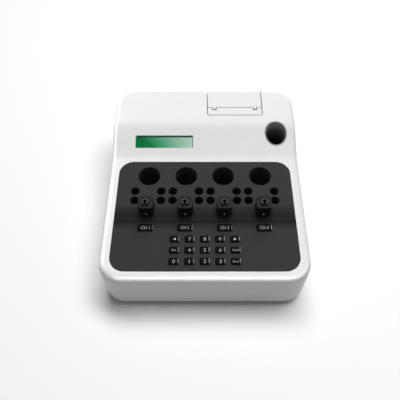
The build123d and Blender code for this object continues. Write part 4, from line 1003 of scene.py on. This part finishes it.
def seen_directly(tree):
    """1 for what the camera sees, straight, mirrored or through glass, and 0 for light on a surface."""
    path = add_node(tree, "ShaderNodeLightPath")
    straight_or_mirrored = add_node(
        tree, "ShaderNodeMath", fields={"operation": "MAXIMUM"},
        links={0: path.outputs["Is Camera Ray"], 1: path.outputs["Is Glossy Ray"]},
    )
    return add_node(
        tree, "ShaderNodeMath", fields={"operation": "MAXIMUM"},
        links={0: straight_or_mirrored.outputs[0], 1: path.outputs["Is Transmission Ray"]},
    ).outputs[0]


bpy.ops.object.select_all(action="DESELECT")
bpy.ops.mesh.primitive_plane_add(size=FLOOR_SIZE, location=(0, 0, 0))
floor = bpy.context.object
floor.name = "studio_floor"
floor_paper, tree, shader = new_material("white_studio_paper", Roughness=0.9, Specular_IOR_Level=0.0)
sheet_colour = add_node(
    tree, "ShaderNodeMix", fields={"data_type": "RGBA"},
    inputs={6: linear("#969696"), 7: linear("#dcdcdc")},
    links={0: seen_directly(tree)},
)
tree.links.new(sheet_colour.outputs[2], shader.inputs["Base Color"])
floor.data.materials.append(floor_paper)
print("floor:", FLOOR_SIZE, "m square")

# %% [markdown]
# The world is a dim white light from all round, at 0.15 of full white, which lifts the shadows a little. Seen
# directly it has a strength of 1, so the background beyond the floor is white.

# %% World
WORLD_LIGHT = 0.15
world = bpy.context.scene.world or bpy.data.worlds.new("studio")
bpy.context.scene.world = world
world.use_nodes = True
background = world.node_tree.nodes["Background"]
level = add_node(
    world.node_tree, "ShaderNodeMapRange",
    inputs={"To Min": WORLD_LIGHT, "To Max": 1.0},
    links={"Value": seen_directly(world.node_tree)},
)
world.node_tree.links.new(level.outputs[0], background.inputs["Strength"])
background.inputs["Color"].default_value = linear("#ffffff")
print("world light:", WORLD_LIGHT)

# %% [markdown]
# The lamps are softboxes, as over a product table. One hangs above, a little behind the instrument, one lights only
# the paper, so that the shadow under the instrument is short and soft, as in the photo, and one stands far behind
# and lower, which leaves the slope darker than the top. Light linking keeps the last two apart: each lamp names a
# collection of what it lights. The rear one isn't seen in reflections, or the plateau would mirror it. A softbox at
# a distance d gives a surface that faces it a plain level of 1 at pi * pi * d * d watts.

# %% Softboxes


def softbox(name, place, aim, width, height, watts):
    """A rectangular area lamp at a place, turned to face a point."""
    bpy.ops.object.light_add(type="AREA", location=place)
    lamp = bpy.context.object
    lamp.name = name
    lamp.rotation_euler = (Vector(aim) - Vector(place)).to_track_quat("-Z", "Y").to_euler()
    lamp.data.shape = "RECTANGLE"
    lamp.data.size = width
    lamp.data.size_y = height
    lamp.data.energy = watts
    return lamp


only_floor = bpy.data.collections.new("lit_floor_only")
only_floor.objects.link(floor)
all_but_floor = bpy.data.collections.new("lit_all_but_floor")
all_but_floor.objects.link(floor)
all_but_floor.collection_objects[0].light_linking.link_state = "EXCLUDE"

MIDDLE = (0, 0, 0.05)
softbox("overhead_softbox", (0.24, 0.64, 2.3), MIDDLE, 1.94, 0.9, 27.0)
paper_lamp = softbox("paper_softbox", (0.42, 0.6, 2.3), MIDDLE, 2.4, 0.9, 60.0)
paper_lamp.light_linking.receiver_collection = only_floor
rear_lamp = softbox("rear_softbox", (0.4, 2.1, 1.3), MIDDLE, 1.6, 1.2, 33.0)
rear_lamp.light_linking.receiver_collection = all_but_floor
rear_lamp.visible_glossy = False

# %% [markdown]
# Rolled edges of a satin case show the shape of the softboxes as bright lines, and that is what makes them look
# rounded. These four boxes are seen in reflections only: they are kept out of the diffuse light in their ray
# visibility, so the lines come with little change to the level on the flat faces. The first runs along the front
# rim, the second along the left rim, the third round the right front corner, and the fourth catches the right-hand
# bevels of the keys. Light linking lets the first three reach the case alone, and the fourth only the keys.

# %% Reflection boxes
only_keys = bpy.data.collections.new("lit_keys_only")
for node in KEYS:
    only_keys.objects.link(frame["nodes"][node])
only_case = bpy.data.collections.new("lit_case_only")
for node in ("top_cover", "bottom_case", "printer_bezel", "printer_cover"):
    only_case.objects.link(frame["nodes"][node])
for name, place, aim, width, height, watts, lit in (
    ("front_rim_box", (0, -0.95, 0.96), (0, -0.15, 0.07), 1.4, 0.9, 86.0, only_case),
    ("left_rim_box", (-0.95, 0.4, 0.5), (-0.13, 0, 0.08), 1.2, 0.9, 36.0, only_case),
    ("right_rim_box", (0.95, -0.45, 0.72), (0.13, -0.12, 0.07), 0.8, 0.8, 32.0, only_case),
    ("key_bevel_box", (1.1, 0.45, 0.73), (0, -0.1, 0.075), 0.4, 0.65, 75.0, only_keys),
):
    box = softbox(name, place, aim, width, height, watts)
    box.visible_diffuse = False
    box.visible_camera = False
    box.light_linking.receiver_collection = lit
